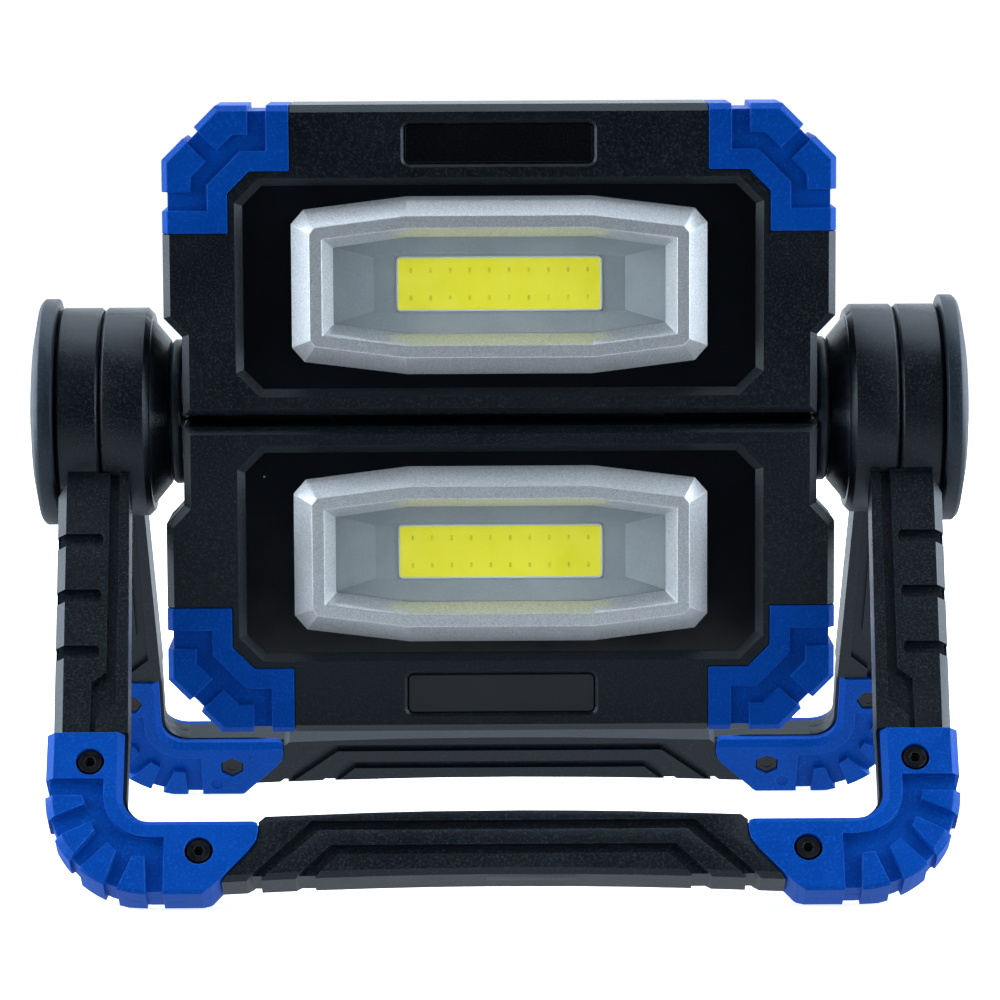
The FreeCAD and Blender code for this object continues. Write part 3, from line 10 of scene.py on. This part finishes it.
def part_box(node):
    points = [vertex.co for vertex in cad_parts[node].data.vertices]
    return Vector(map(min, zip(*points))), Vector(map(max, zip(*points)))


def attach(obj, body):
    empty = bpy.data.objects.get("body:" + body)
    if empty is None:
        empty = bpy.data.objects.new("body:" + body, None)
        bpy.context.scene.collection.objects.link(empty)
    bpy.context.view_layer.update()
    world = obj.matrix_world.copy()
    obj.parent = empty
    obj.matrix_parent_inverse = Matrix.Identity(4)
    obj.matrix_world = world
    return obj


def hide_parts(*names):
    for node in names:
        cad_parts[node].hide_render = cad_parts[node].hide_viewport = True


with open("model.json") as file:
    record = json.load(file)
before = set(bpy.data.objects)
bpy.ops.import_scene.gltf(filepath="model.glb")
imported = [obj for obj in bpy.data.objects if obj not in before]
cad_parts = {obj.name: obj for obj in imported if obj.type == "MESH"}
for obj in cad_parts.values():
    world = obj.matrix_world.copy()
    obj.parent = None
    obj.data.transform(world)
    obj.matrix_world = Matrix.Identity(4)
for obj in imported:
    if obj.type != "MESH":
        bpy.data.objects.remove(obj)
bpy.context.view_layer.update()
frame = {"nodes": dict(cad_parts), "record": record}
NODES = frame["nodes"]

MM = 0.001
AXIS_HEIGHT = 0.1426


# ---------------------------------------------------------------- shader helpers

class Shader:
    """A material's node tree, with short calls for the nodes that the surfaces share."""

    def __init__(self, name):
        self.material = bpy.data.materials.new(name)
        self.material.use_nodes = True
        self.tree = self.material.node_tree
        self.nodes = self.tree.nodes
        self.bsdf = self.nodes["Principled BSDF"]
        coord = self.nodes.new("ShaderNodeTexCoord")
        self.place = coord.outputs["Object"]

    def link(self, source, target):
        self.tree.links.new(source, target)

    def set(self, **values):
        for key, value in values.items():
            self.bsdf.inputs[key.replace("_", " ")].default_value = value

    def noise(self, scale, detail=2.0, roughness=0.5, stretch=None):
        node = self.nodes.new("ShaderNodeTexNoise")
        node.inputs["Scale"].default_value = scale
        node.inputs["Detail"].default_value = detail
        node.inputs["Roughness"].default_value = roughness
        self.link(self.stretched(stretch), node.inputs["Vector"])
        return node.outputs["Fac"]

    def cells(self, scale, feature="F1", output="Distance"):
        node = self.nodes.new("ShaderNodeTexVoronoi")
        node.feature = feature
        node.inputs["Scale"].default_value = scale
        self.link(self.place, node.inputs["Vector"])
        return node.outputs[output]

    def stretched(self, stretch):
        if stretch is None:
            return self.place
        node = self.nodes.new("ShaderNodeMapping")
        node.inputs["Scale"].default_value = stretch
        self.link(self.place, node.inputs["Vector"])
        return node.outputs["Vector"]

    def span(self, source, low, high, out_low=0.0, out_high=1.0, smooth=False):
        """Maps source from low..high to out_low..out_high."""
        node = self.nodes.new("ShaderNodeMapRange")
        node.interpolation_type = "SMOOTHSTEP" if smooth else "LINEAR"
        limits = {"From Min": low, "From Max": high, "To Min": out_low, "To Max": out_high}
        for key, value in limits.items():
            node.inputs[key].default_value = value
        self.link(source, node.inputs["Value"])
        return node.outputs["Result"]

    def math(self, operation, first, second=None):
        node = self.nodes.new("ShaderNodeMath")
        node.operation = operation
        for socket, value in zip(node.inputs, (first, second)):
            if value is None:
                continue
            if isinstance(value, (int, float)):
                socket.default_value = value
            else:
                self.link(value, socket)
        return node.outputs["Value"]

    def mix(self, factor, first, second):
        """Colour between two colours; each is a colour or a socket."""
        node = self.nodes.new("ShaderNodeMix")
        node.data_type = "RGBA"
        sockets = [s for s in node.inputs if s.enabled]
        self.link(factor, sockets[0])
        for socket, value in zip(sockets[1:], (first, second)):
            if isinstance(value, tuple):
                socket.default_value = (*value, 1.0)
            else:
                self.link(value, socket)
        return [s for s in node.outputs if s.enabled][0]

    def bump(self, height, distance, strength=1.0, under=None):
        node = self.nodes.new("ShaderNodeBump")
        node.inputs["Distance"].default_value = distance
        node.inputs["Strength"].default_value = strength
        self.link(height, node.inputs["Height"])
        if under is not None:
            self.link(under, node.inputs["Normal"])
        return node.outputs["Normal"]

    def specks(self, scale, size, share):
        """Mask of rare small specks: a share of the cells has one, about size cells wide."""
        near_middle = self.span(self.cells(scale), size * 0.55, size, 1.0, 0.0, smooth=True)
        chosen = self.nodes.new("ShaderNodeSeparateColor")
        self.link(self.cells(scale, output="Color"), chosen.inputs["Color"])
        return self.math("MULTIPLY", near_middle, self.math("LESS_THAN", chosen.outputs["Red"], share))

    def edge_mask(self, radius, low=0.02, high=0.22):
        """Mask of the outer edges, where a lighter colour is mixed in as a painted highlight."""
        rounded = self.nodes.new("ShaderNodeBevel")
        rounded.samples = 4
        rounded.inputs["Radius"].default_value = radius
        geometry = self.nodes.new("ShaderNodeNewGeometry")
        dot = self.nodes.new("ShaderNodeVectorMath")
        dot.operation = "DOT_PRODUCT"
        self.link(rounded.outputs["Normal"], dot.inputs[0])
        self.link(geometry.outputs["Normal"], dot.inputs[1])
        return self.span(self.math("SUBTRACT", 1.0, dot.outputs["Value"]), low, high, smooth=True)

    def color_to(self, source):
        self.link(source, self.bsdf.inputs["Base Color"])

    def rough_to(self, source):
        self.link(source, self.bsdf.inputs["Roughness"])

    def normal_to(self, source):
        self.link(source, self.bsdf.inputs["Normal"])


def moulded(name, dark, light, rough, grain=0.05, grain_scale=1900.0, shine=0.5, painted_glint=(0.03, 0.04, 0.05),
            edge_highlight=None, edge_highlight_share=0.55, specks=0.04, tint=(1.0, 1.0, 1.0)):
    """Moulded plastic: fine spark-eroded grain with painted glints, cloudy colour, sparse dust and painted
    highlights on the edges.
    """
    s = Shader(name)
    cloud = s.noise(38.0, 4.0, 0.6)
    fine = s.noise(grain_scale, 2.0, 0.6)
    base = s.mix(s.span(cloud, 0.3, 0.7), dark, light)
    # Painted glint: lighter specks in the fine grain stand for the glints of its facets.
    base = s.mix(s.span(fine, 0.53, 0.68, 0.0, 0.9), base, painted_glint)
    # Painted highlight: the edges are lightened where they would catch the light, broken up by noise.
    if edge_highlight:
        painted_edge = s.math("MULTIPLY", s.edge_mask(0.0005), s.span(s.noise(160.0, 3.0), 0.35, 0.7))
        base = s.mix(s.math("MULTIPLY", painted_edge, edge_highlight_share), base, edge_highlight)
    if specks:
        base = s.mix(s.specks(95.0, 0.035, specks), base, (0.22, 0.24, 0.26))
    s.color_to(base)
    s.set(Specular_IOR_Level=shine, Specular_Tint=(*tint, 1.0))
    s.rough_to(s.math("ADD", s.span(cloud, 0.3, 0.7, rough - 0.04, rough + 0.04),
                      s.span(fine, 0.3, 0.7, -0.06, 0.08)))
    coarse = s.bump(s.noise(420.0, 2.0), grain * MM * 0.5, 0.5)
    s.normal_to(s.bump(fine, grain * MM, 0.8, coarse))
    return s


# ---------------------------------------------------------------- materials

def black_housing():
    return moulded("black_moulded", (0.0014, 0.0028, 0.005), (0.0026, 0.0044, 0.0076), 0.4,
                   grain=0.07, grain_scale=1500.0, shine=0.42, painted_glint=(0.014, 0.022, 0.032),
                   edge_highlight=(0.05, 0.065, 0.085), tint=(0.84, 0.93, 1.0))


def black_satin():
    """The hub caps and hinge discs: the same plastic with a finer, shinier skin."""
    return moulded("black_satin", (0.01, 0.015, 0.022), (0.014, 0.021, 0.031), 0.46,
                   grain=0.04, grain_scale=1700.0, shine=0.42, painted_glint=(0.03, 0.045, 0.062),
                   edge_highlight=(0.05, 0.065, 0.085), specks=0.06, tint=(0.84, 0.93, 1.0))


def blue_rubber():
    s = moulded("blue_overmould", (0.0002, 0.053, 0.335), (0.0003, 0.07, 0.42), 0.5,
                grain=0.012, grain_scale=1300.0, shine=0.16, painted_glint=(0.0004, 0.1, 0.56),
                edge_highlight=(0.07, 0.3, 0.86), edge_highlight_share=0.85, specks=0.02,
                tint=(0.35, 0.65, 1.0))
    s.set(Subsurface_Weight=0.12, Subsurface_Scale=0.0015)
    s.bsdf.inputs["Subsurface Radius"].default_value = (0.1, 0.4, 1.0)
    return s


def gloss_panel():
    s = Shader("gloss_panel")
    smear = s.noise(26.0, 5.0, 0.65)
    base = s.mix(s.span(smear, 0.4, 0.75), (0.0022, 0.003, 0.0046), (0.0032, 0.0042, 0.0062))
    base = s.mix(s.specks(120.0, 0.05, 0.05), base, (0.16, 0.18, 0.2))
    s.color_to(base)
    s.rough_to(s.span(smear, 0.35, 0.75, 0.09, 0.2))
    s.normal_to(s.bump(s.noise(14.0, 2.0), 0.05 * MM, 0.2))
    return s


def silver_paint():
    s = Shader("silver_paint")
    flake = s.cells(4200.0, output="Color")
    shade = s.nodes.new("ShaderNodeSeparateColor")
    s.link(flake, shade.inputs["Color"])
    cloud = s.noise(45.0, 4.0)
    base = s.mix(s.span(shade.outputs["Red"], 0.0, 1.0), (0.5, 0.52, 0.55), (0.86, 0.87, 0.88))
    base = s.mix(s.span(cloud, 0.3, 0.75, 0.0, 0.35), base, (0.72, 0.74, 0.76))
    # Painted highlight: the edges are lightened to near white.
    s.color_to(s.mix(s.math("MULTIPLY", s.edge_mask(0.0004), 0.85), base, (0.97, 0.98, 1.0)))
    s.set(Metallic=0.6)
    s.rough_to(s.span(s.noise(700.0, 2.0), 0.3, 0.7, 0.34, 0.46))
    s.normal_to(s.bump(shade.outputs["Green"], 0.01 * MM, 0.5))
    return s


def reflector_coat():
    s = Shader("reflector_coat")
    cloud = s.noise(60.0, 4.0)
    fine = s.noise(2200.0, 2.0)
    base = s.mix(s.span(cloud, 0.3, 0.7), (0.44, 0.48, 0.51), (0.54, 0.58, 0.6))
    base = s.mix(s.span(fine, 0.45, 0.75, 0.0, 0.45), base, (0.7, 0.74, 0.76))
    # Painted highlight: the edges are lightened to a pale colour.
    s.color_to(s.mix(s.edge_mask(0.0004), base, (0.9, 0.93, 0.95)))
    s.set(Metallic=0.25)
    s.rough_to(s.span(fine, 0.3, 0.7, 0.32, 0.44))
    s.normal_to(s.bump(fine, 0.012 * MM, 0.5))
    return s


def clear_lens():
    s = Shader("clear_lens")
    s.set(Transmission_Weight=1.0, IOR=1.49)
    haze = s.noise(30.0, 4.0)
    s.color_to(s.mix(s.span(haze, 0.4, 0.8), (0.98, 0.99, 0.99), (0.94, 0.96, 0.95)))
    s.rough_to(s.span(haze, 0.35, 0.8, 0.0, 0.05))
    s.normal_to(s.bump(s.noise(18.0, 2.0), 0.03 * MM, 0.15))
    return s


def phosphor(middle):
    """Silicone phosphor with the bond marks of two rows of dies showing through it."""
    s = Shader(f"phosphor_{middle.name}")
    split = s.nodes.new("ShaderNodeSeparateXYZ")
    s.link(s.place, split.inputs["Vector"])
    pitch = 6.2 * MM
    column = s.math("FRACT", s.math("ADD", s.math("DIVIDE", split.outputs["X"], pitch), 100.0))
    across = s.math("ABSOLUTE", s.math("SUBTRACT", column, 0.5))
    height = s.math("ABSOLUTE", s.math("SUBTRACT", split.outputs["Z"], middle.height))
    row = s.math("ABSOLUTE", s.math("SUBTRACT", height, 4.4 * MM))
    mark = s.math("MULTIPLY", s.span(across, 0.03, 0.09, 1.0, 0.0, smooth=True),
                  s.span(row, 0.5 * MM, 1.0 * MM, 1.0, 0.0, smooth=True))
    mark = s.math("MULTIPLY", mark, s.span(s.noise(900.0, 2.0), 0.3, 0.6, 0.25, 0.8))
    cloud = s.noise(120.0, 3.0)
    base = s.mix(s.span(cloud, 0.3, 0.7), (0.76, 0.7, 0.022), (0.82, 0.77, 0.045))
    base = s.mix(s.specks(160.0, 0.05, 0.03), base, (0.25, 0.22, 0.03))
    shade = s.mix(mark, base, (0.42, 0.42, 0.015))
    s.color_to(shade)
    # Painted glow: the phosphor of the switched-off panel glows weakly in its own colour, so it looks
    # brighter than a plain pigment.
    s.link(shade, s.bsdf.inputs["Emission Color"])
    s.set(Emission_Strength=0.42)
    s.rough_to(s.span(cloud, 0.3, 0.7, 0.42, 0.55))
    s.set(Subsurface_Weight=0.15, Subsurface_Scale=0.0015)
    s.normal_to(s.bump(s.noise(800.0, 3.0), 0.02 * MM, 0.4))
    return s


def dam_silicone():
    s = Shader("dam_silicone")
    cloud = s.noise(150.0, 3.0)
    s.color_to(s.mix(s.span(cloud, 0.3, 0.7), (0.82, 0.87, 0.83), (0.9, 0.93, 0.88)))
    s.rough_to(s.span(s.noise(400.0, 2.0), 0.3, 0.7, 0.3, 0.42))
    s.set(Subsurface_Weight=0.2, Subsurface_Scale=0.001)
    s.normal_to(s.bump(s.noise(500.0, 2.0), 0.02 * MM, 0.4))
    return s


def solder_mask(name, dark, light):
    s = Shader(name)
    cloud = s.noise(90.0, 3.0)
    s.color_to(s.mix(s.span(cloud, 0.3, 0.7), dark, light))
    s.rough_to(s.span(s.noise(500.0, 2.0), 0.3, 0.7, 0.28, 0.42))
    s.normal_to(s.bump(s.noise(600.0, 2.0), 0.01 * MM, 0.4))
    return s


def metal(name, dark, light, rough, grain=(1.0, 1.0, 1.0), scale=900.0):
    s = Shader(name)
    line = s.noise(scale, 3.0, 0.6, stretch=grain)
    s.color_to(s.mix(s.span(line, 0.3, 0.7), dark, light))
    s.set(Metallic=1.0)
    s.rough_to(s.span(line, 0.3, 0.7, rough - 0.07, rough + 0.07))
    s.normal_to(s.bump(line, 0.01 * MM, 0.4))
    return s


def black_oxide():
    s = Shader("black_oxide")
    cloud = s.noise(300.0, 3.0)
    base = s.mix(s.span(cloud, 0.3, 0.7), (0.003, 0.003, 0.004), (0.007, 0.008, 0.01))
    # Painted highlight: the edges of the screws and nuts are lightened to grey.
    s.color_to(s.mix(s.math("MULTIPLY", s.edge_mask(0.0003), 0.7), base, (0.12, 0.12, 0.13)))
    s.set(Specular_IOR_Level=0.4)
    s.rough_to(s.span(cloud, 0.3, 0.7, 0.24, 0.36))
    s.normal_to(s.bump(s.noise(1200.0, 2.0), 0.008 * MM, 0.4))
    return s


def satin_label(name, dark, light, rough):
    return moulded(name, dark, light, rough, grain=0.003, grain_scale=1600.0, painted_glint=light, specks=0.03)


class Middle:
    """Where a lamp's light panel has its middle."""

    def __init__(self, lamp):
        low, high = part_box(f"{lamp}_lamp_led_phosphor")
        self.name = lamp
        self.height = (low.z + high.z) / 2


BLACK = black_housing().material
SATIN = black_satin().material
FINISH = {
    "black_housing": BLACK,
    "blue_bumper": blue_rubber().material,
    "gloss_panel": gloss_panel().material,
    "silver_bezel": silver_paint().material,
    "clear_lens": clear_lens().material,
    "reflector_coating": reflector_coat().material,
    "led_substrate": solder_mask("led_substrate", (0.6, 0.62, 0.6), (0.68, 0.7, 0.67)).material,
    "cast_aluminium": metal("cast_aluminium", (0.5, 0.5, 0.52), (0.6, 0.6, 0.62), 0.42,
                            (1.0, 1.0, 0.1)).material,
    "battery_wrap": solder_mask("battery_wrap", (0.015, 0.16, 0.12), (0.03, 0.2, 0.16)).material,
    "circuit_board": solder_mask("circuit_board", (0.01, 0.09, 0.03), (0.02, 0.13, 0.045)).material,
    "black_steel": black_oxide().material,
    "black_rubber": moulded("black_rubber", (0.008, 0.009, 0.011), (0.014, 0.015, 0.018), 0.6).material,
    "steel": metal("bright_zinc", (0.42, 0.42, 0.45), (0.58, 0.58, 0.6), 0.28, (1.0, 1.0, 1.0)).material,
    "washer_plastic": moulded("acetal", (0.02, 0.02, 0.022), (0.03, 0.03, 0.033), 0.35).material,
}
SPECIAL = {
    "upper_lamp_label_plate": satin_label("label_gloss", (0.0012, 0.0016, 0.0024),
                                          (0.002, 0.0026, 0.0036), 0.22).material,
    "lower_lamp_label_plate": satin_label("label_matt", (0.009, 0.011, 0.014),
                                          (0.013, 0.016, 0.02), 0.5).material,
    "hinge_disc_left": SATIN,
    "hinge_disc_right": SATIN,
    "hub_cap_left": SATIN,
    "hub_cap_right": SATIN,
}
for lamp in ("upper", "lower"):
    SPECIAL[f"{lamp}_lamp_led_phosphor"] = phosphor(Middle(lamp)).material

# Radius of the softened edge of each finish, in millimetres; the sealed inner parts keep plain edges.
SOFTENED = {"black_housing": 0.3, "blue_bumper": 0.3, "silver_bezel": 0.25, "gloss_panel": 0.15,
            "label_plate": 0.2, "black_rubber": 0.3, "black_steel": 0.15, "reflector_coating": 0.12}
# Pieces made of flat facets, whose faint edges are softened too.
FACETED = {"silver_bezel", "reflector_coating"}


def soften(piece, radius, angle):
    """Rounds the sharp edges of a piece, after joining the vertices that its export split."""
    weld = piece.modifiers.new("weld", "WELD")
    weld.merge_threshold = 1e-6
    flat = piece.modifiers.new("flat", "DECIMATE")
    flat.decimate_type = "DISSOLVE"
    flat.angle_limit = math.radians(0.6)
    bevel = piece.modifiers.new("edges", "BEVEL")
    bevel.width = radius * MM
    bevel.segments = 2
    bevel.limit_method = "ANGLE"
    bevel.angle_limit = math.radians(angle)
    bevel.use_clamp_overlap = True
    bevel.harden_normals = True


slots = {part["node"]: part["material_slot"] for part in frame["record"]["subparts"]}
for name, node in NODES.items():
    finish = SPECIAL.get(name, FINISH.get(slots[name]))
    node.data.materials.clear()
    node.data.materials.append(finish)
    if name.endswith("_lamp_lens"):
        node.visible_shadow = False
    if slots[name] in SOFTENED:
        soften(node, SOFTENED[slots[name]], 3.0 if slots[name] in FACETED else 26.0)


# ---------------------------------------------------------------- light panels

class Face:
    """Front face of a plate: its middle, its outward normal, its upward direction and its half sizes."""

    def __init__(self, node):
        corners = [vertex.co.copy() for vertex in node.data.vertices]
        self.normal = min((side.normal.copy() for side in node.data.polygons), key=lambda n: n.y)
        self.up = self.normal.cross(Vector((1, 0, 0))).normalized()
        reach = max(corner.dot(self.normal) for corner in corners)
        front = [corner for corner in corners if reach - corner.dot(self.normal) < 0.01 * MM]
        across = [corner.x for corner in front]
        upward = [corner.dot(self.up) for corner in front]
        self.half_width = (max(across) - min(across)) / 2
        self.half_height = (max(upward) - min(upward)) / 2
        self.middle = self.up * (max(upward) + min(upward)) / 2 + self.normal * reach
        self.middle.x = (max(across) + min(across)) / 2

    def loop(self, inset, rise, radius, steps=6):
        """Rounded rectangle, inset from the face's outline and raised off the face."""
        radius = max(radius - inset, 0.2 * MM)
        wide, tall = self.half_width - inset - radius, self.half_height - inset - radius
        points = []
        for turn, (side, over) in enumerate(((1, 1), (-1, 1), (-1, -1), (1, -1))):
            for step in range(steps + 1):
                angle = math.radians(90 * (turn + step / steps))
                across = side * wide + radius * math.cos(angle)
                upward = over * tall + radius * math.sin(angle)
                points.append(self.middle + Vector((across, 0, 0)) + self.up * upward + self.normal * rise)
        return points


def lofted(name, loops, material, closed_top=False):
    """Skin through loops of points, with a flat face over the last loop if its top is closed."""
    count = len(loops[0])
    faces = []
    for level in range(len(loops) - 1):
        for step in range(count):
            following = (step + 1) % count
            low, high = level * count, (level + 1) * count
            faces.append((low + step, low + following, high + following, high + step))
    if closed_top:
        faces.append(tuple(range((len(loops) - 1) * count, len(loops) * count)))
    mesh = bpy.data.meshes.new(name)
    mesh.from_pydata([point for loop in loops for point in loop], [], faces)
    mesh.materials.append(material)
    for side in mesh.polygons:
        side.use_smooth = len(side.vertices) == 4
    made = bpy.data.objects.new(name, mesh)
    bpy.context.scene.collection.objects.link(made)
    return made


def light_panel(lamp, silicone):
    """Yellow phosphor with rounded corners inside a thin raised rim of pale silicone."""
    node = f"{lamp}_lamp_led_phosphor"
    face = Face(NODES[node])
    corner = 1.5 * MM
    # Each pair is how far in from the panel's outline, and how far above its face, in millimetres.
    rim = [(0.0, -1.0), (0.0, 0.0), (0.1, 0.1), (0.3, 0.16), (0.5, 0.1), (0.62, -0.03)]
    yellow = [(0.55, -1.0), (0.55, -0.01)]
    dam = lofted(f"{lamp}_dam", [face.loop(inset * MM, rise * MM, corner) for inset, rise in rim], silicone)
    fill = lofted(f"{lamp}_phosphor_fill",
                  [face.loop(inset * MM, rise * MM, corner) for inset, rise in yellow],
                  SPECIAL[node], closed_top=True)
    # The yellow doesn't tint the reflector round it.
    fill.visible_diffuse = fill.visible_glossy = False
    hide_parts(node)
    for piece in (dam, fill):
        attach(piece, f"{lamp}_lamp")


rim_silicone = dam_silicone().material
for lamp in ("upper", "lower"):
    light_panel(lamp, rim_silicone)


# ---------------------------------------------------------------- floor, light and camera

def emitter(name, strength, color=(1.0, 1.0, 1.0)):
    made = bpy.data.materials.new(name)
    made.use_nodes = True
    tree = made.node_tree
    tree.nodes.clear()
    glow = tree.nodes.new("ShaderNodeEmission")
    glow.inputs["Strength"].default_value = strength
    glow.inputs["Color"].default_value = (*color, 1.0)
    out = tree.nodes.new("ShaderNodeOutputMaterial")
    tree.links.new(glow.outputs["Emission"], out.inputs["Surface"])
    return made


def sheet(name, half_x, half_y, place, turn=(0.0, 0.0, 0.0)):
    mesh = bpy.data.meshes.new(name)
    corners = [(-half_x, -half_y, 0), (half_x, -half_y, 0), (half_x, half_y, 0), (-half_x, half_y, 0)]
    mesh.from_pydata(corners, [], [(0, 1, 2, 3)])
    made = bpy.data.objects.new(name, mesh)
    made.location = place
    made.rotation_euler = [math.radians(t) for t in turn]
    bpy.context.scene.collection.objects.link(made)
    return made


def floor():
    made = sheet("floor", 30.0, 30.0, (0, 0, 0))
    s = Shader("floor")
    s.color_to(s.mix(s.span(s.noise(3.0, 3.0), 0.3, 0.7), (0.8, 0.8, 0.8), (0.84, 0.84, 0.84)))
    s.rough_to(s.span(s.noise(6.0), 0.3, 0.7, 0.8, 0.95))
    s.set(Specular_IOR_Level=0.0)
    # The glow that whitens the floor is weaker under the light, where its contact shadow falls.
    near_light = s.nodes.new("ShaderNodeTexGradient")
    near_light.gradient_type = "SPHERICAL"
    s.link(s.stretched((2.2, 3.4, 1.0)), near_light.inputs["Vector"])
    open_glow, shaded_glow = 1.02, 0.8
    glow = s.span(near_light.outputs["Fac"], 0.0, 0.6, open_glow, shaded_glow, smooth=True)
    s.link(glow, s.bsdf.inputs["Emission Strength"])
    s.bsdf.inputs["Emission Color"].default_value = (1.0, 1.0, 1.0, 1.0)
    made.data.materials.append(s.material)
    made.visible_glossy = made.visible_diffuse = made.visible_transmission = False
    table = sheet("table_bounce", 0.9, 0.43, (0, 0, -0.002))
    table.data.materials.append(emitter("table_bounce", 0.9, (0.82, 0.91, 1.0)))
    table.visible_camera = table.visible_shadow = False


def softbox(name, place, aim, width, height, radiance, color=(0.8, 0.9, 1.0)):
    light = bpy.data.lights.new(name, "AREA")
    light.shape = "RECTANGLE"
    light.size = width
    light.size_y = height
    light.energy = radiance * math.pi * width * height
    light.color = color
    made = bpy.data.objects.new(name, light)
    made.location = place
    made.rotation_euler = (Vector(aim) - Vector(place)).to_track_quat("-Z", "Y").to_euler()
    made.visible_camera = False
    bpy.context.scene.collection.objects.link(made)


def studio():
    middle = (0.0, 0.0, 0.12)
    softbox("overhead", (0.0, 0.32, 1.25), (0.0, 0.1, 0.12), 1.7, 1.25, 2.6)
    softbox("left_box", (-1.15, 0.14, 0.4), middle, 1.4, 1.4, 5.8)
    softbox("right_box", (1.15, 0.14, 0.4), middle, 1.4, 1.4, 5.8)
    softbox("left_front", (-0.95, -0.8, 0.35), middle, 0.55, 1.1, 2.0)
    softbox("right_front", (0.95, -0.8, 0.35), middle, 0.55, 1.1, 2.0)
    softbox("behind", (0.0, 1.3, 0.45), middle, 2.4, 1.3, 1.8)
    world = bpy.data.worlds.new("studio")
    bpy.context.scene.world = world
    world.use_nodes = True
    tree = world.node_tree
    back = tree.nodes["Background"]
    back.inputs["Color"].default_value = (1.0, 1.0, 1.0, 1.0)
    back.inputs["Strength"].default_value = 1.1
    room = tree.nodes.new("ShaderNodeBackground")
    room.inputs["Color"].default_value = (0.75, 0.88, 1.0, 1.0)
    room.inputs["Strength"].default_value = 0.03
    path = tree.nodes.new("ShaderNodeLightPath")
    both = tree.nodes.new("ShaderNodeMixShader")
    tree.links.new(path.outputs["Is Camera Ray"], both.inputs["Fac"])
    tree.links.new(room.outputs["Background"], both.inputs[1])
    tree.links.new(back.outputs["Background"], both.inputs[2])
    tree.links.new(both.outputs["Shader"], tree.nodes["World Output"].inputs["Surface"])


def turned_by(first, second, angle):
    """Both directions turned by an angle in their own plane, the first towards the second."""
    return (first * math.cos(angle) + second * math.sin(angle),
            second * math.cos(angle) - first * math.sin(angle))


def camera():
    """A long lens a little above the hinge axis, aimed below it."""
    distance, lens, sensor = 1.4272, 159.27, 36.0
    high, across, roll = math.radians(5.35), math.radians(-0.35), math.radians(0.28)
    away = Vector((math.sin(across) * math.cos(high), -math.cos(across) * math.cos(high), math.sin(high)))
    forward = -away
    right = forward.cross(Vector((0, 0, 1))).normalized()
    up = right.cross(forward)
    pitch, turn = math.radians(-1.172), math.radians(-0.0016)
    forward, up = turned_by(forward, up, pitch)
    right, forward = turned_by(right, forward, turn)
    up, right = turned_by(up, right, roll)
    data = bpy.data.cameras.new("camera")
    data.lens = lens
    data.sensor_width = sensor
    data.clip_start, data.clip_end = 0.05, 60.0
    made = bpy.data.objects.new("camera", data)
    turned = Matrix((right, up, -forward)).transposed().to_4x4()
    made.matrix_world = Matrix.Translation(Vector((0, 0, AXIS_HEIGHT)) + away * distance) @ turned
    bpy.context.scene.collection.objects.link(made)
    bpy.context.scene.camera = made


floor()
studio()
camera()
bpy.context.scene.view_settings.view_transform = "Standard"
